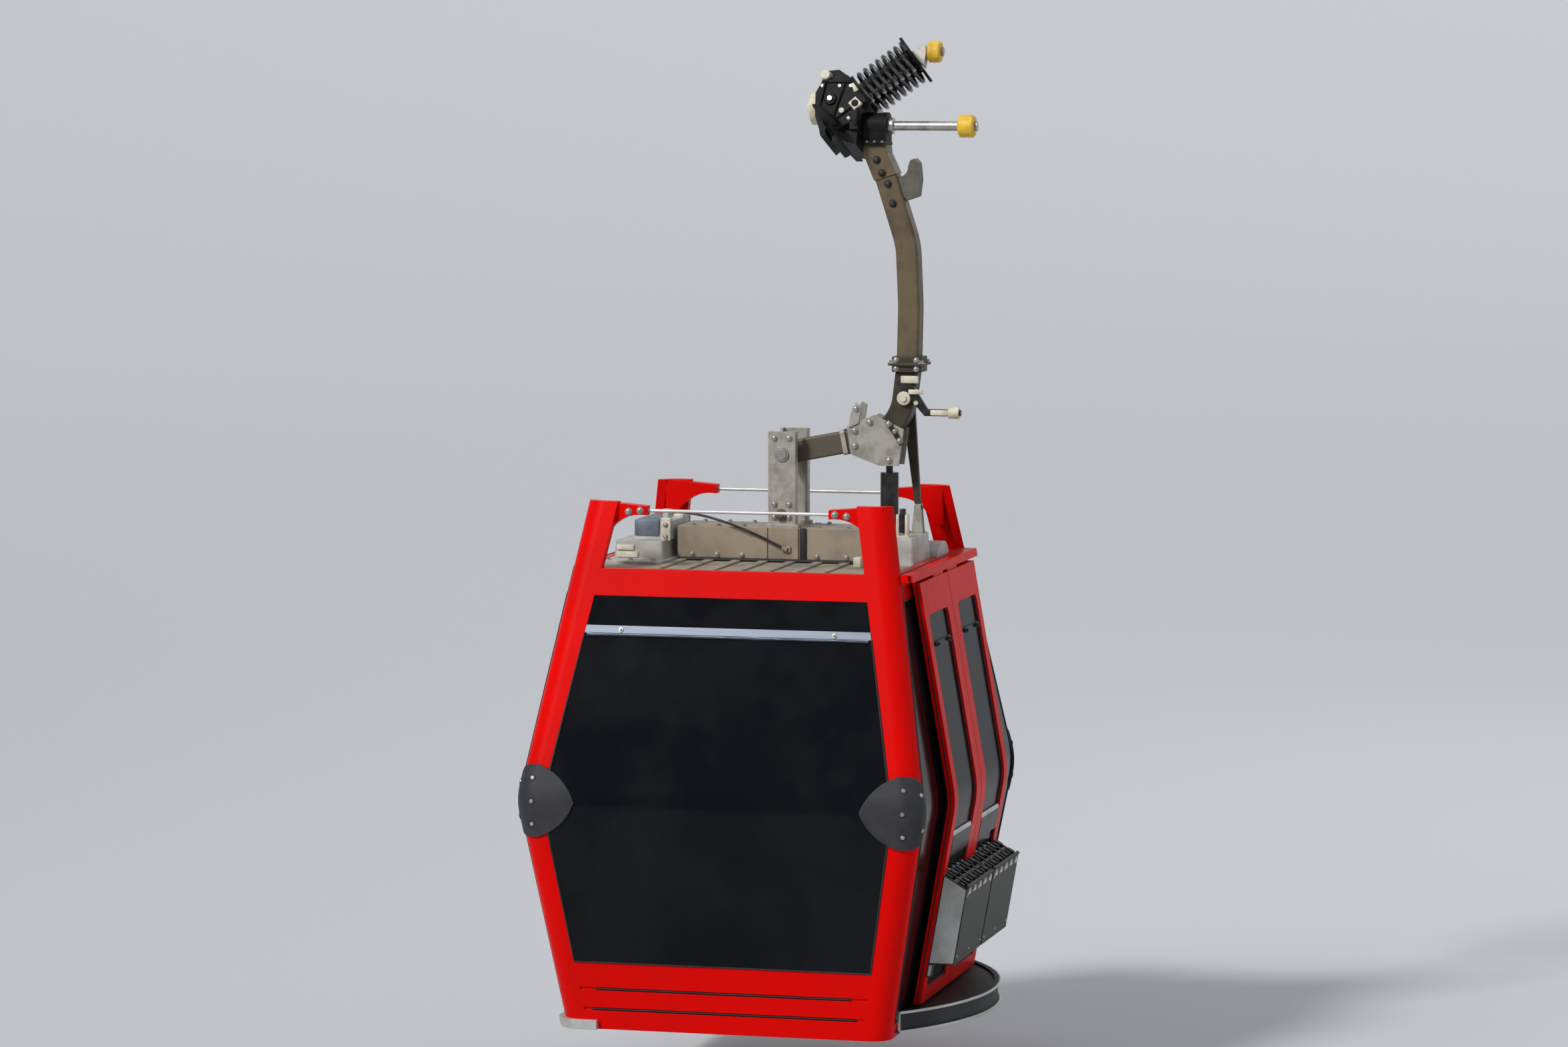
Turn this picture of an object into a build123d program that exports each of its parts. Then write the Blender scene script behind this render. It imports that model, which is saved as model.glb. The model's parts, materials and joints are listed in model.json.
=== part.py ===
"""Cable car cabin: an eight-seat cabin on a bent hanger, with a spring grip for a moving rope.

Millimetres, +Z up. The origin is the centre of the rope in the grip's jaws.
X points to the door side, Y runs along the rope seen from above, and the rope falls towards +Y.
"""
import os
from functools import lru_cache
from math import cos, radians, sin, tan

from build123d import *

os.makedirs("parts", exist_ok=True)

# Rope and clamp
rope_radius = 25
rope_slope = 18
jaw_length = 290
jaw_wall = 26

# Cabin: heights above its base, half widths (X) and half lengths (Y) at base, waist and roof
cabin_x = -310
waist_height = 1060
roof_height = 2100
horn_height = 300
base_half = {"front": 765, "side": 875}
waist_half = {"front": 950, "side": 1025}
roof_half = {"front": 770, "side": 730}
waist_bend = 350
corner_radius = 95

# Walls, frames and glass
wall = 40
glass = 8
floor_height = 30
floor_thickness = 45
sill_height = 316
header_height = 120
vent_drop = 150
vent_rail = 36
window_corner = 28
window_half_base = 695
window_half_waist = 815
window_half_roof = 640
side_post_base = 90
side_post_waist = 85
side_post_roof = 75
blind_sill = 50
groove_depth = 7
groove_width = 14

# Doors: heights above the base, drops below the roof
door_half_width = 560
door_meeting_gap = 6
door_gap = 22
door_thickness = 34
door_bottom = 122
door_top_drop = 50
door_meeting_stile = 98
door_outer_stile = 70
door_window_low = 880
door_window_drop = 200
door_vent_drop = 340
door_panel_low = 190
door_panel_high = 810
door_travel = 420
runner_thickness = 14
runner_height = 34
runner_clearance = 0.3
rail_wall = 6
opening_overlap = 60

# Roof and column
roof_thickness = 30
roof_edge_gap = 12
beam_width = 280
beam_height = 160
beam_wall = 8
column_x = -230
column_width = 130
column_gap = 250
column_plate = 12
column_flange = 34
column_rise = 105
suspension_z = -1450
suspension_rise = 490
suspension_pin_radius = 24

# Hanger
hanger_pivot_x = 190
hanger_pivot_z = 65
hanger_width = 110
hanger_depth = 110
hanger_hub_radius = 62
main_shaft_radius = 22
shaft_clearance = 0.3
housing_flange = 16
collar_rise = 420
collar_height = 70

# The cabin hangs from the suspension pin, and its heights count up from its base
base_z = suspension_z - suspension_rise - roof_height
base_plane = Plane((cabin_x, 0, base_z))
front_plane = Plane((cabin_x, 0, base_z), x_dir=(1, 0, 0), z_dir=(0, -1, 0))
side_plane = Plane((cabin_x, 0, base_z), x_dir=(0, 1, 0), z_dir=(1, 0, 0))
reach = 1500


def half_at(which, height):
    """Half width ("front") or half length ("side") of the cabin's outer form at a height."""
    if height < waist_height:
        share = height / waist_height
        return base_half[which] + (waist_half[which] - base_half[which]) * share
    share = (height - waist_height) / (roof_height - waist_height)
    return waist_half[which] + (roof_half[which] - waist_half[which]) * share


def profile(which, inset=0):
    """The bent outline of the cabin, seen from the front or the side, moved inwards by inset."""
    low = -300
    high = 2800
    corners = [
        (-half_at(which, low), low),
        (half_at(which, low), low),
        (waist_half[which], waist_height),
        (half_at(which, high), high),
        (-half_at(which, high), high),
        (-waist_half[which], waist_height),
    ]
    with BuildSketch() as outline:
        with BuildLine():
            FilletPolyline(*corners, radius=[0, 0, waist_bend, 0, 0, waist_bend], close=True)
        make_face()
        if inset:
            offset(amount=-inset, kind=Kind.INTERSECTION)
    return outline.sketch


@lru_cache(maxsize=None)
def tall_form(inset):
    """Solid of the cabin's outer form, moved inwards by inset, running on above and below."""
    with BuildPart() as form:
        with BuildSketch(front_plane):
            add(profile("front", inset))
        extrude(amount=reach, both=True)
        with BuildSketch(side_plane):
            add(profile("side", inset))
        extrude(amount=reach, both=True, mode=Mode.INTERSECT)
        corners = form.edges().filter_by(
            lambda edge: abs(edge.center().X - cabin_x) > 100 and abs(edge.center().Y) > 100
        )
        if corner_radius > inset:
            fillet(corners, radius=corner_radius - inset)
    return form.part


def cabin_form(inset, low, high):
    """Solid of the cabin's outer form, moved inwards by inset, between two heights."""
    with BuildPart() as form:
        add(tall_form(inset))
        with Locations((cabin_x, 0, base_z + (low + high) / 2)):
            Box(2 * reach, 2 * reach, high - low, mode=Mode.INTERSECT)
    return form.part


def shell(outer, inner, low, high):
    """Wall of the cabin between two insets and two heights, open above and below."""
    with BuildPart() as walls:
        add(cabin_form(outer, low, high))
        add(cabin_form(inner, low - 10, high + 10), mode=Mode.SUBTRACT)
    return walls.part


def taper_outline(stations, corner=0):
    """Symmetric outline through (half width, height) stations, with its four corners rounded."""
    right = list(stations)
    left = [(-half, height) for half, height in reversed(right)]
    ends = [corner] + [waist_bend] * (len(right) - 2) + [corner]
    with BuildSketch() as outline:
        with BuildLine():
            FilletPolyline(*right, *left, radius=ends + ends, close=True)
        make_face()
    return outline.sketch


def window_half(height):
    """Half width between the end posts at a height."""
    low = sill_height
    high = roof_height - header_height
    if height < waist_height:
        share = (height - low) / (waist_height - low)
        return window_half_base + (window_half_waist - window_half_base) * share
    share = (height - waist_height) / (high - waist_height)
    return window_half_waist + (window_half_roof - window_half_waist) * share


def side_half(height):
    """Half length between the side posts at a height."""
    if height < waist_height:
        share = height / waist_height
        post = side_post_base + (side_post_waist - side_post_base) * share
    else:
        share = (height - waist_height) / (roof_height - waist_height)
        post = side_post_waist + (side_post_roof - side_post_waist) * share
    return half_at("side", height) - post


def between_posts(which, low, high, corner=0):
    """Outline of the field between two posts, from a low to a high height."""
    half = window_half if which == "front" else side_half
    stations = [(half(low), low)]
    if low < waist_height < high:
        stations.append((half(waist_height), waist_height))
    stations.append((half(high), high))
    return taper_outline(stations, corner)


def end_piece(outer, inner, low, high, end, outline=None):
    """Piece of an end wall (end -1 near, +1 far) between the posts."""
    with BuildPart() as piece:
        add(shell(outer, inner, low, high))
        with BuildSketch(front_plane):
            add(outline or between_posts("front", low, high))
        extrude(amount=-end * reach, mode=Mode.INTERSECT)
    return piece.part


def side_piece(outer, inner, low, high, side, outline=None):
    """Piece of a side wall (side -1 blind, +1 door) between the posts."""
    with BuildPart() as piece:
        add(shell(outer, inner, low, high))
        with BuildSketch(side_plane):
            add(outline or between_posts("side", low, high))
        extrude(amount=side * reach, mode=Mode.INTERSECT)
    return piece.part


def save(built, name):
    """Label a finished piece and write it under its own name."""
    built.part.label = name
    export_step(built.part, f"parts/{name}.step")


# Corner posts, bent at the waist, each with its horn above the roof
horn_top = roof_height + horn_height
gusset_reach = 250
gusset_drop = 120
gusset_thickness = 60
gusset_slope = 20
gusset_tip = 42
gusset_height = 190
with BuildPart() as corner_post:
    add(shell(0, wall, 0, horn_top))
    with BuildSketch(front_plane):
        with BuildLine():
            Polyline(
                (window_half(0), 0),
                (reach, 0),
                (reach, horn_top),
                (window_half(horn_top), horn_top),
                (window_half(waist_height), waist_height),
                close=True,
            )
        make_face()
    extrude(amount=reach, mode=Mode.INTERSECT)
    with BuildSketch(side_plane):
        with BuildLine():
            Polyline(
                (-side_half(0), 0),
                (-reach, 0),
                (-reach, horn_top),
                (-side_half(horn_top), horn_top),
                (-side_half(waist_height), waist_height),
                close=True,
            )
        make_face()
    extrude(amount=reach, mode=Mode.INTERSECT)
    horn_y = -half_at("side", horn_top - gusset_drop)
    horn_x = half_at("front", horn_top) - wall
    with BuildSketch(front_plane.offset(-horn_y - wall)):
        with BuildLine():
            tip_x = horn_x - gusset_reach
            top_run = Line((horn_x, horn_top), (tip_x, horn_top - gusset_slope))
            tip = Line(top_run @ 1, (tip_x, horn_top - gusset_slope - gusset_tip))
            foot = (horn_x - wall, horn_top - gusset_height)
            RadiusArc(tip @ 1, foot, gusset_height)
            Line(foot, (horn_x, horn_top - gusset_height))
            Line((horn_x, horn_top - gusset_height), (horn_x, horn_top))
        make_face()
    extrude(amount=-gusset_thickness)

for side_name, side in (("blind", -1), ("door", 1)):
    for end_name, end in (("near", -1), ("far", 1)):
        with BuildPart() as post:
            add(corner_post.part)
            if side < 0:
                mirror(about=Plane.YZ.offset(cabin_x), mode=Mode.REPLACE)
            if end > 0:
                mirror(about=Plane.XZ, mode=Mode.REPLACE)
        save(post, f"post_{end_name}_{side_name}")

# End walls: sill with two grooves, header, window, vent rail and vent pane
header_low = roof_height - header_height
vent_height = header_low - vent_drop
groove_heights = (95, 190)
for end_name, end in (("near", -1), ("far", 1)):
    with BuildPart() as end_sill:
        add(end_piece(0, wall, 0, sill_height, end))
        for height in groove_heights:
            add(
                shell(-10, groove_depth, height - groove_width / 2, height + groove_width / 2),
                mode=Mode.SUBTRACT,
            )
    save(end_sill, f"sill_{end_name}")

    with BuildPart() as end_header:
        add(end_piece(0, wall, header_low, roof_height, end))
    save(end_header, f"header_{end_name}")

    with BuildPart() as end_window:
        add(end_piece(0, glass, sill_height, vent_height - vent_rail / 2, end))
        add(end_piece(0, glass, vent_height + vent_rail / 2, header_low, end))
    save(end_window, f"window_{end_name}")

with BuildPart() as vent_rails:
    for end in (-1, 1):
        low = vent_height - vent_rail / 2
        high = vent_height + vent_rail / 2
        add(end_piece(-4, 2.5 * glass, low, high, end))
save(vent_rails, "vent_rails")

# Blind side: header, one bent pane down to the bottom rail
with BuildPart() as blind_header:
    add(side_piece(0, wall, header_low, roof_height, -1))
save(blind_header, "header_blind")

with BuildPart() as blind_window:
    add(side_piece(0, glass, blind_sill, header_low, -1))
save(blind_window, "window_blind")

with BuildPart() as blind_sill_bar:
    add(side_piece(0, wall, 0, blind_sill, -1))
save(blind_sill_bar, "sill_blind")

# Door side: header, threshold and the wedge-shaped fixed panes beside the opening
with BuildPart() as door_header:
    add(side_piece(0, wall, header_low, roof_height, 1))
save(door_header, "header_door")

threshold_height = floor_height + floor_thickness
with BuildPart() as door_threshold:
    add(side_piece(0, wall, 0, threshold_height, 1))
save(door_threshold, "sill_door")

opening_half = door_half_width - opening_overlap
with BuildPart() as quarter_windows:
    add(side_piece(0, 3 * glass, threshold_height, header_low, 1))
    with BuildSketch(side_plane):
        with BuildLine():
            Polyline(
                (-opening_half, 0),
                (opening_half, 0),
                (opening_half, roof_height),
                (-opening_half, roof_height),
                close=True,
            )
        make_face()
    extrude(amount=reach, mode=Mode.SUBTRACT)
save(quarter_windows, "quarter_windows")

# Floor pan with its cross members
member_width = 80
with BuildPart() as floor:
    add(cabin_form(wall, floor_height, threshold_height))
    for offset_y in (-500, 0, 500):
        with BuildSketch(base_plane):
            with Locations((0, offset_y)):
                Rectangle(2 * (base_half["front"] - wall) - 20, member_width)
        extrude(amount=floor_height)
save(floor, "floor")

# Roof panel with pressed ribs
roof_top = roof_height - 12
rib_height = 8
rib_pitch = 130
rib_count = 7
rib_width = 40
with BuildPart() as roof_panel:
    add(cabin_form(wall, roof_top - roof_thickness, roof_top))
    with BuildSketch(base_plane.offset(roof_top)):
        with GridLocations(rib_pitch, 0, rib_count, 1):
            SlotOverall(2 * roof_half["side"] - 4 * wall - 120, rib_width, rotation=90)
        Rectangle(2 * reach, beam_width + 40, mode=Mode.SUBTRACT)
    extrude(amount=rib_height)
save(roof_panel, "roof_panel")

# Benches at both ends, facing each other
seat_height = 450
seat_depth = 420
bench_half = 600
bench_foot = 25
bench_back = 980
for end_name, end in (("near", -1), ("far", 1)):
    back_low = half_at("side", seat_height) - wall - 30
    back_high = half_at("side", bench_back + 20) - wall - 60
    seat_front = back_low - seat_depth
    bench_root = half_at("side", threshold_height) - wall - 12
    with BuildPart() as bench:
        with BuildSketch(side_plane):
            with BuildLine():
                Polyline(
                    (end * (bench_root - bench_foot), threshold_height),
                    (end * (back_low - 60), seat_height - 40),
                    (end * seat_front, seat_height - 30),
                    (end * seat_front, seat_height + 10),
                    (end * (back_low - 40), seat_height),
                    (end * (back_high - 40), bench_back),
                    (end * back_high, bench_back),
                    (end * back_low, seat_height),
                    (end * bench_root, threshold_height),
                    close=True,
                )
            make_face()
        extrude(amount=bench_half, both=True)
    save(bench, f"bench_{end_name}")

# Waist guards, moulded plastic wrapped round the four corners
guard_half_height = 165
guard_reach = 285
guard_thickness = 10
guard_wrap = 95
with BuildPart() as corner_guards:
    low = waist_height - guard_half_height
    high = waist_height + guard_half_height
    add(shell(-guard_thickness, 0, low, high))
    with BuildSketch(front_plane):
        tip_x = waist_half["front"] - guard_reach
        with BuildLine():
            ThreePointArc(
                (waist_half["front"] + 30, low),
                (tip_x + 60, waist_height - 95),
                (tip_x, waist_height),
            )
            ThreePointArc(
                (tip_x, waist_height),
                (tip_x + 60, waist_height + 95),
                (waist_half["front"] + 30, high),
            )
            Line((waist_half["front"] + 30, high), (waist_half["front"] + 30, low))
        make_face()
        mirror(about=Plane.YZ)
    extrude(amount=reach, both=True, mode=Mode.INTERSECT)
    with BuildSketch(side_plane):
        side_corner = waist_half["side"] + 30
        with Locations((side_corner, waist_height), (-side_corner, waist_height)):
            RectangleRounded(2 * (guard_wrap + 30), 2 * guard_half_height, 60)
    extrude(amount=reach, both=True, mode=Mode.INTERSECT)
save(corner_guards, "corner_guards")


def door_section(inner, outer, low, high):
    """Section of the leaf's bent slab between two distances from the side wall and two heights."""
    with BuildSketch() as section:
        add(profile("front", -outer))
        add(profile("front", -inner), mode=Mode.SUBTRACT)
        with Locations((reach / 2, (low + high) / 2)):
            Rectangle(reach, high - low, mode=Mode.INTERSECT)
    return section.sketch


# Door leaves: bent red frames with a window, a vent pane and a lower panel
leaf_inner = door_gap
leaf_outer = door_gap + door_thickness
leaf_middle = door_gap + door_thickness / 2
runner_inner = leaf_middle - runner_thickness / 2
runner_outer = leaf_middle + runner_thickness / 2
runner_low_y = 40
runner_high_y = 240
leaf_width = door_half_width - door_meeting_gap / 2
door_top = roof_height - door_top_drop
door_window_high = roof_height - door_window_drop
door_vent = roof_height - door_vent_drop
rack_low = 310
rack_front = 660
rack_back = 725
rack_depth = 120
rack_sheet = 8
rack_half = 270
rack_bars = 5
rack_bar = 14
rack_bar_height = 40
rack_foot = 18
panel_field = (door_panel_low, door_panel_high)
window_field = (door_window_low, door_window_high)
vent_bar = 12
leaf_fields = (
    # inner and outer distance from the side wall, low and high edge, field that it sits in
    (leaf_middle - 6, leaf_middle + 6, door_panel_low, door_panel_high, panel_field),
    (leaf_middle - 4, leaf_middle + 4, door_window_low, door_vent - vent_bar, window_field),
    (leaf_inner + 4, leaf_outer - 4, door_vent - vent_bar, door_vent + vent_bar, window_field),
    (leaf_middle - 4, leaf_middle + 4, door_vent + vent_bar, door_window_high, window_field),
)


def field_outline(leaf_y, field):
    """Rounded outline of a window or panel in a leaf, seen from the side."""
    low, high = field
    with BuildSketch(side_plane) as outline:
        shift = (door_meeting_stile - door_outer_stile) / 2
        middle = leaf_y + shift if leaf_y > 0 else leaf_y - shift
        width = leaf_width - door_meeting_stile - door_outer_stile
        with Locations((middle, (low + high) / 2)):
            RectangleRounded(width, high - low, window_corner)
    return outline.sketch


def leaf_pane(leaf_y, inner, outer, low, high, field):
    """Pane, panel or bar that fits a field of a leaf between two heights."""
    with BuildPart() as pane:
        with BuildSketch(front_plane.offset(-leaf_y)):
            add(door_section(inner, outer, low, high))
        extrude(amount=leaf_width / 2, both=True)
        extrude(field_outline(leaf_y, field), amount=reach, mode=Mode.INTERSECT)
    return pane.part


pocket_inner = leaf_outer + rack_sheet
pocket_outer = leaf_outer + rack_depth - rack_sheet


def rack_section(inner, outer, low, drop=None):
    """Section of a ski rack between two distances from the wall, under its sloping top edge.

    With a drop, only the strip that far below the top edge is kept.
    """
    front_x = half_at("front", rack_front) + leaf_outer + rack_depth
    back_x = half_at("front", rack_back) + leaf_outer
    with BuildSketch() as section:
        add(door_section(inner, outer, low, rack_back))
        with BuildLine():
            under = low - 100 if drop is None else rack_back - drop
            under_front = low - 100 if drop is None else rack_front - drop
            Polyline(
                (back_x, rack_back),
                (front_x, rack_front),
                (front_x + 100, under_front),
                (front_x, under_front),
                (back_x, under),
                (back_x - 400, under),
                (back_x - 400, rack_back),
                close=True,
            )
        make_face(mode=Mode.INTERSECT)
    return section.sketch


for end_name, end in (("near", -1), ("far", 1)):
    leaf_y = end * (door_meeting_gap / 2 + leaf_width / 2)
    with BuildPart() as leaf:
        with BuildSketch(front_plane.offset(-leaf_y)):
            add(door_section(leaf_inner, leaf_outer, door_bottom, door_top))
        extrude(amount=leaf_width / 2, both=True)
        for field in (panel_field, window_field):
            extrude(field_outline(leaf_y, field), amount=reach, mode=Mode.SUBTRACT)
        runner_y = end * (runner_low_y + runner_high_y) / 2
        with BuildSketch(front_plane.offset(-runner_y)):
            add(door_section(runner_inner, runner_outer, door_top, door_top + runner_height))
        extrude(amount=(runner_high_y - runner_low_y) / 2, both=True)
    save(leaf, f"door_{end_name}")

    with BuildPart() as leaf_panes:
        for inner, outer, low, high, field in leaf_fields:
            add(leaf_pane(leaf_y, inner, outer, low, high, field))
    save(leaf_panes, f"door_panes_{end_name}")

    rack_y = end * (door_meeting_gap / 2 + door_half_width / 2)
    pocket_half = rack_half - rack_sheet
    with BuildPart() as rack:
        with BuildSketch(front_plane.offset(-rack_y)):
            add(rack_section(leaf_outer, leaf_outer + rack_depth, rack_low))
        extrude(amount=rack_half, both=True)
        with BuildSketch(front_plane.offset(-rack_y)):
            add(rack_section(pocket_inner, pocket_outer, rack_low + rack_sheet))
        extrude(amount=pocket_half, both=True, mode=Mode.SUBTRACT)
        for bar in range(1, rack_bars + 1):
            bar_y = rack_y - pocket_half + bar * 2 * pocket_half / (rack_bars + 1)
            with BuildSketch(front_plane.offset(-bar_y)):
                add(rack_section(pocket_inner, pocket_outer, rack_low, rack_bar_height))
            extrude(amount=rack_bar / 2, both=True)
        for foot_y in (rack_y - pocket_half, rack_y + pocket_half):
            with BuildSketch(front_plane.offset(-foot_y)):
                add(door_section(leaf_outer, leaf_outer + 26, rack_low - 60, rack_low))
            extrude(amount=rack_foot / 2, both=True)
    save(rack, f"ski_rack_{end_name}")

# Door rail: a channel along the header that the leaves' runners hang in
rail_inner = runner_inner - runner_clearance
rail_outer = runner_outer + runner_clearance
rail_low = door_top + 12
rail_roof = door_top + runner_height + 8
rail_top = rail_roof + rail_wall
rail_half = runner_high_y + door_travel + 10
with BuildPart() as door_rail:
    with BuildSketch(front_plane):
        add(door_section(0, rail_outer + rail_wall, rail_low, rail_top))
        add(door_section(rail_inner, rail_outer, rail_low, rail_roof), mode=Mode.SUBTRACT)
    extrude(amount=rail_half, both=True)
    add(cabin_form(0, 1900, horn_top), mode=Mode.SUBTRACT)
save(door_rail, "door_rail")

# Door step: a tread inside a bow-shaped channel round the foot of the doors
step_low = 20
step_height = 96
step_half = base_half["side"] - 75
step_bow = 300
step_wall = 26
step_flange = 9
step_lip = 10
step_tread = 12
step_root = base_half["front"]


def step_outline(inset):
    """The bow that the step makes on the door side, moved inwards by inset."""
    with BuildSketch() as outline:
        with BuildLine():
            bow = ThreePointArc(
                (step_root - wall, -step_half + inset),
                (step_root + step_bow - inset, 0),
                (step_root - wall, step_half - inset),
            )
            Line(bow @ 1, bow @ 0)
        make_face()
    return outline.sketch


with BuildPart() as door_step:
    for low, height, outer, inner in (
        # start above the base, height, outer and inner inset of the bow
        (0, step_flange, 0, step_wall),
        (step_flange, step_height - 2 * step_flange, step_lip, step_wall),
        (step_height - step_flange, step_flange, 0, step_wall),
        (step_height - step_flange - step_tread, step_tread, step_lip, None),
    ):
        with BuildSketch(base_plane.offset(step_low + low)):
            add(step_outline(outer))
            if inner:
                add(step_outline(inner), mode=Mode.SUBTRACT)
        extrude(amount=height)
    add(cabin_form(0, -100, 400), mode=Mode.SUBTRACT)
save(door_step, "door_step")

# Blind-side bottom rail, chamfered round both corners
rail_height = 44
rail_projection = 30
with BuildPart() as blind_rail:
    add(cabin_form(-rail_projection, 0, rail_height))
    add(cabin_form(0, -20, rail_height + 20), mode=Mode.SUBTRACT)
    with BuildSketch(base_plane):
        with Locations((-base_half["front"], 0)):
            Rectangle(2 * 170, 2 * reach)
    extrude(amount=rail_height + 10, mode=Mode.INTERSECT)
save(blind_rail, "blind_rail")

# Roof beam across the cabin, with its splice plates, straps and cable gland
door_housing = 118
blind_housing = 298
roof_edge = roof_half["front"] - wall - roof_edge_gap
beam_low = base_z + roof_top
beam_top = beam_low + beam_height
beam_start = cabin_x - roof_edge + blind_housing
beam_end = cabin_x + roof_edge - door_housing
splice_x = -330
splice_width = 64
splice_plate = 6
strap_x = -178
strap_width = 56
cable_radius = 6
gland_radius = 13
gland_length = 26
beam_middle = (beam_low + beam_top) / 2
with BuildPart() as roof_beam:
    with BuildSketch(Plane.YZ.offset(beam_start)):
        with Locations((0, beam_middle)):
            Rectangle(beam_width, beam_height)
            Rectangle(beam_width - 2 * beam_wall, beam_height - 2 * beam_wall, mode=Mode.SUBTRACT)
    extrude(amount=beam_end - beam_start)
    for band_x, band_width in ((splice_x, splice_width), (strap_x, strap_width)):
        with BuildSketch(Plane.YZ.offset(band_x - band_width / 2)):
            for side in (-1, 1):
                with Locations((side * (beam_width + splice_plate) / 2, beam_middle)):
                    Rectangle(splice_plate, beam_height)
        extrude(amount=band_width)

# Route of the roof cable, from the blind-side housing to its gland on the beam
cable_start = Vector(beam_start - 34, -118, beam_top + 62)
cable_points = [
    cable_start,
    cable_start + Vector(64, -6, -1),
    cable_start + Vector(134, -20, -8),
    cable_start + Vector(206, -34, -22),
    cable_start + Vector(280, -42, -42),
    cable_start + Vector(354, -46, -67),
    cable_start + Vector(424, -45, -96),
    cable_start + Vector(488, -41, -126),
    cable_start + Vector(540, -37, -152),
]
cable_end = cable_points[-1]
cable_end_direction = (cable_end - cable_points[-2]).normalized()
cable_start_direction = (cable_points[1] - cable_start).normalized()
with BuildPart() as beam_gland:
    with BuildSketch(Plane(cable_end, x_dir=(0, 0, 1), z_dir=cable_end_direction)):
        Circle(gland_radius)
    extrude(amount=gland_length)
    with BuildSketch(Plane.XZ.offset(beam_width / 2 + splice_plate)):
        with Locations((cable_end.X + gland_length, cable_end.Z - gland_length / 3)):
            Rectangle(gland_length, 2 * gland_radius)
    extrude(amount=-(cable_end.Y + beam_width / 2 + splice_plate))
with BuildPart() as beam:
    add(roof_beam.part)
    add(beam_gland.part)
save(beam, "roof_beam")

# Housings at both ends of the beam, standing on the roof
housing_height = 130
housing_draft = 4
housing_tiers = (
    # side, length, width, start and height above the roof, draft, distance from the beam's end
    (1, door_housing, 340, 0, housing_height, housing_draft, 0),
    (-1, blind_housing, 800, 0, 14, 0, 0),
    (-1, blind_housing - 60, 560, 14, 84, housing_draft, 30),
    (-1, blind_housing - 110, 330, 98, 84, housing_draft, 20),
)
with BuildPart() as beam_housings:
    for side, length, width, low, height, draft, gap in housing_tiers:
        edge = beam_end if side > 0 else beam_start
        with BuildSketch(Plane.XY.offset(beam_low + low)):
            with Locations((edge + side * (gap + length / 2), 0)):
                RectangleRounded(length, width, 18)
        extrude(amount=height, taper=draft)
    with BuildSketch(Plane(cable_start, x_dir=(0, 0, 1), z_dir=cable_start_direction * -1)):
        Circle(gland_radius)
    extrude(amount=gland_length)
    with BuildSketch(Plane.XY.offset(beam_low + 182)):
        with Locations((cable_start.X - gland_length, cable_start.Y)):
            Rectangle(gland_length, gland_length)
    extrude(amount=cable_start.Z + gland_radius - beam_low - 182)
save(beam_housings, "beam_housings")

# Roof cable: straight runs joined by the widest arcs that they allow
corner_radii = []
for before, corner, after in zip(cable_points, cable_points[1:], cable_points[2:]):
    arrive = corner - before
    leave = after - corner
    half_turn = radians(arrive.get_angle(leave)) / 2
    corner_radii.append(0.45 * min(arrive.length, leave.length) / tan(half_turn))
print("cable radii", [round(radius) for radius in corner_radii])
with BuildPart() as roof_cable:
    with BuildLine() as cable_line:
        FilletPolyline(*cable_points, radius=corner_radii)
    with BuildSketch(Plane(cable_start, x_dir=(0, 0, 1), z_dir=cable_start_direction)):
        Circle(cable_radius)
    sweep()
save(roof_cable, "roof_cable")

# Column: two flanged plates with the hole for the suspension pin, each on a foot
plate_low = beam_top
plate_high = suspension_z + column_rise
foot_height = 16
foot_projection = 14
with BuildPart() as column_plates:
    for end in (-1, 1):
        face = end * column_gap / 2
        with BuildSketch(Plane.XZ.offset(-face)):
            with Locations((column_x, (plate_low + plate_high) / 2)):
                Rectangle(column_width, plate_high - plate_low)
            with Locations((column_x, suspension_z)):
                Circle(suspension_pin_radius, mode=Mode.SUBTRACT)
        extrude(amount=-end * column_plate)
        for flange_x in (-1, 1):
            edge = column_x + flange_x * (column_width - column_plate) / 2
            with BuildSketch(Plane.XY.offset(plate_low)):
                with Locations((edge, face - end * column_flange / 2)):
                    Rectangle(column_plate, column_flange)
            extrude(amount=plate_high - plate_low)
        with BuildSketch(Plane.XY.offset(plate_low)):
            with Locations((column_x, face - end * (column_flange - foot_projection) / 2)):
                Rectangle(column_width + 2 * foot_projection, column_flange + foot_projection)
        extrude(amount=foot_height)
save(column_plates, "column_plates")

# Hanger head, hung on the grip's main shaft by its bearing housing
collar_z = suspension_z + collar_rise
arm_top = Vector(240, 0, -170)
arm_knee = Vector(338, 0, -480)
arm_low = Vector(350, 0, -760)
arm_end = Vector(344, 0, collar_z)
head_direction = (arm_knee - arm_top).normalized()
head_normal = Vector(-head_direction.Z, 0, head_direction.X)
half_width = hanger_width / 2
head_top = -25
head_shoulder = -60
with BuildPart() as hanger_head:
    lower_right = arm_top + head_normal * half_width
    lower_left = arm_top - head_normal * half_width
    with BuildSketch(Plane.XZ):
        with BuildLine():
            Polyline(
                (hanger_pivot_x - half_width, head_top),
                (hanger_pivot_x + half_width, head_top),
                (hanger_pivot_x + half_width + 4, head_shoulder),
                (lower_right.X, lower_right.Z),
                (lower_left.X, lower_left.Z),
                (hanger_pivot_x - half_width, head_shoulder),
                close=True,
            )
        make_face()
    extrude(amount=hanger_depth / 2, both=True)
    fillet(hanger_head.edges().filter_by(Axis.Z), radius=8)
save(hanger_head, "hanger_head")

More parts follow.
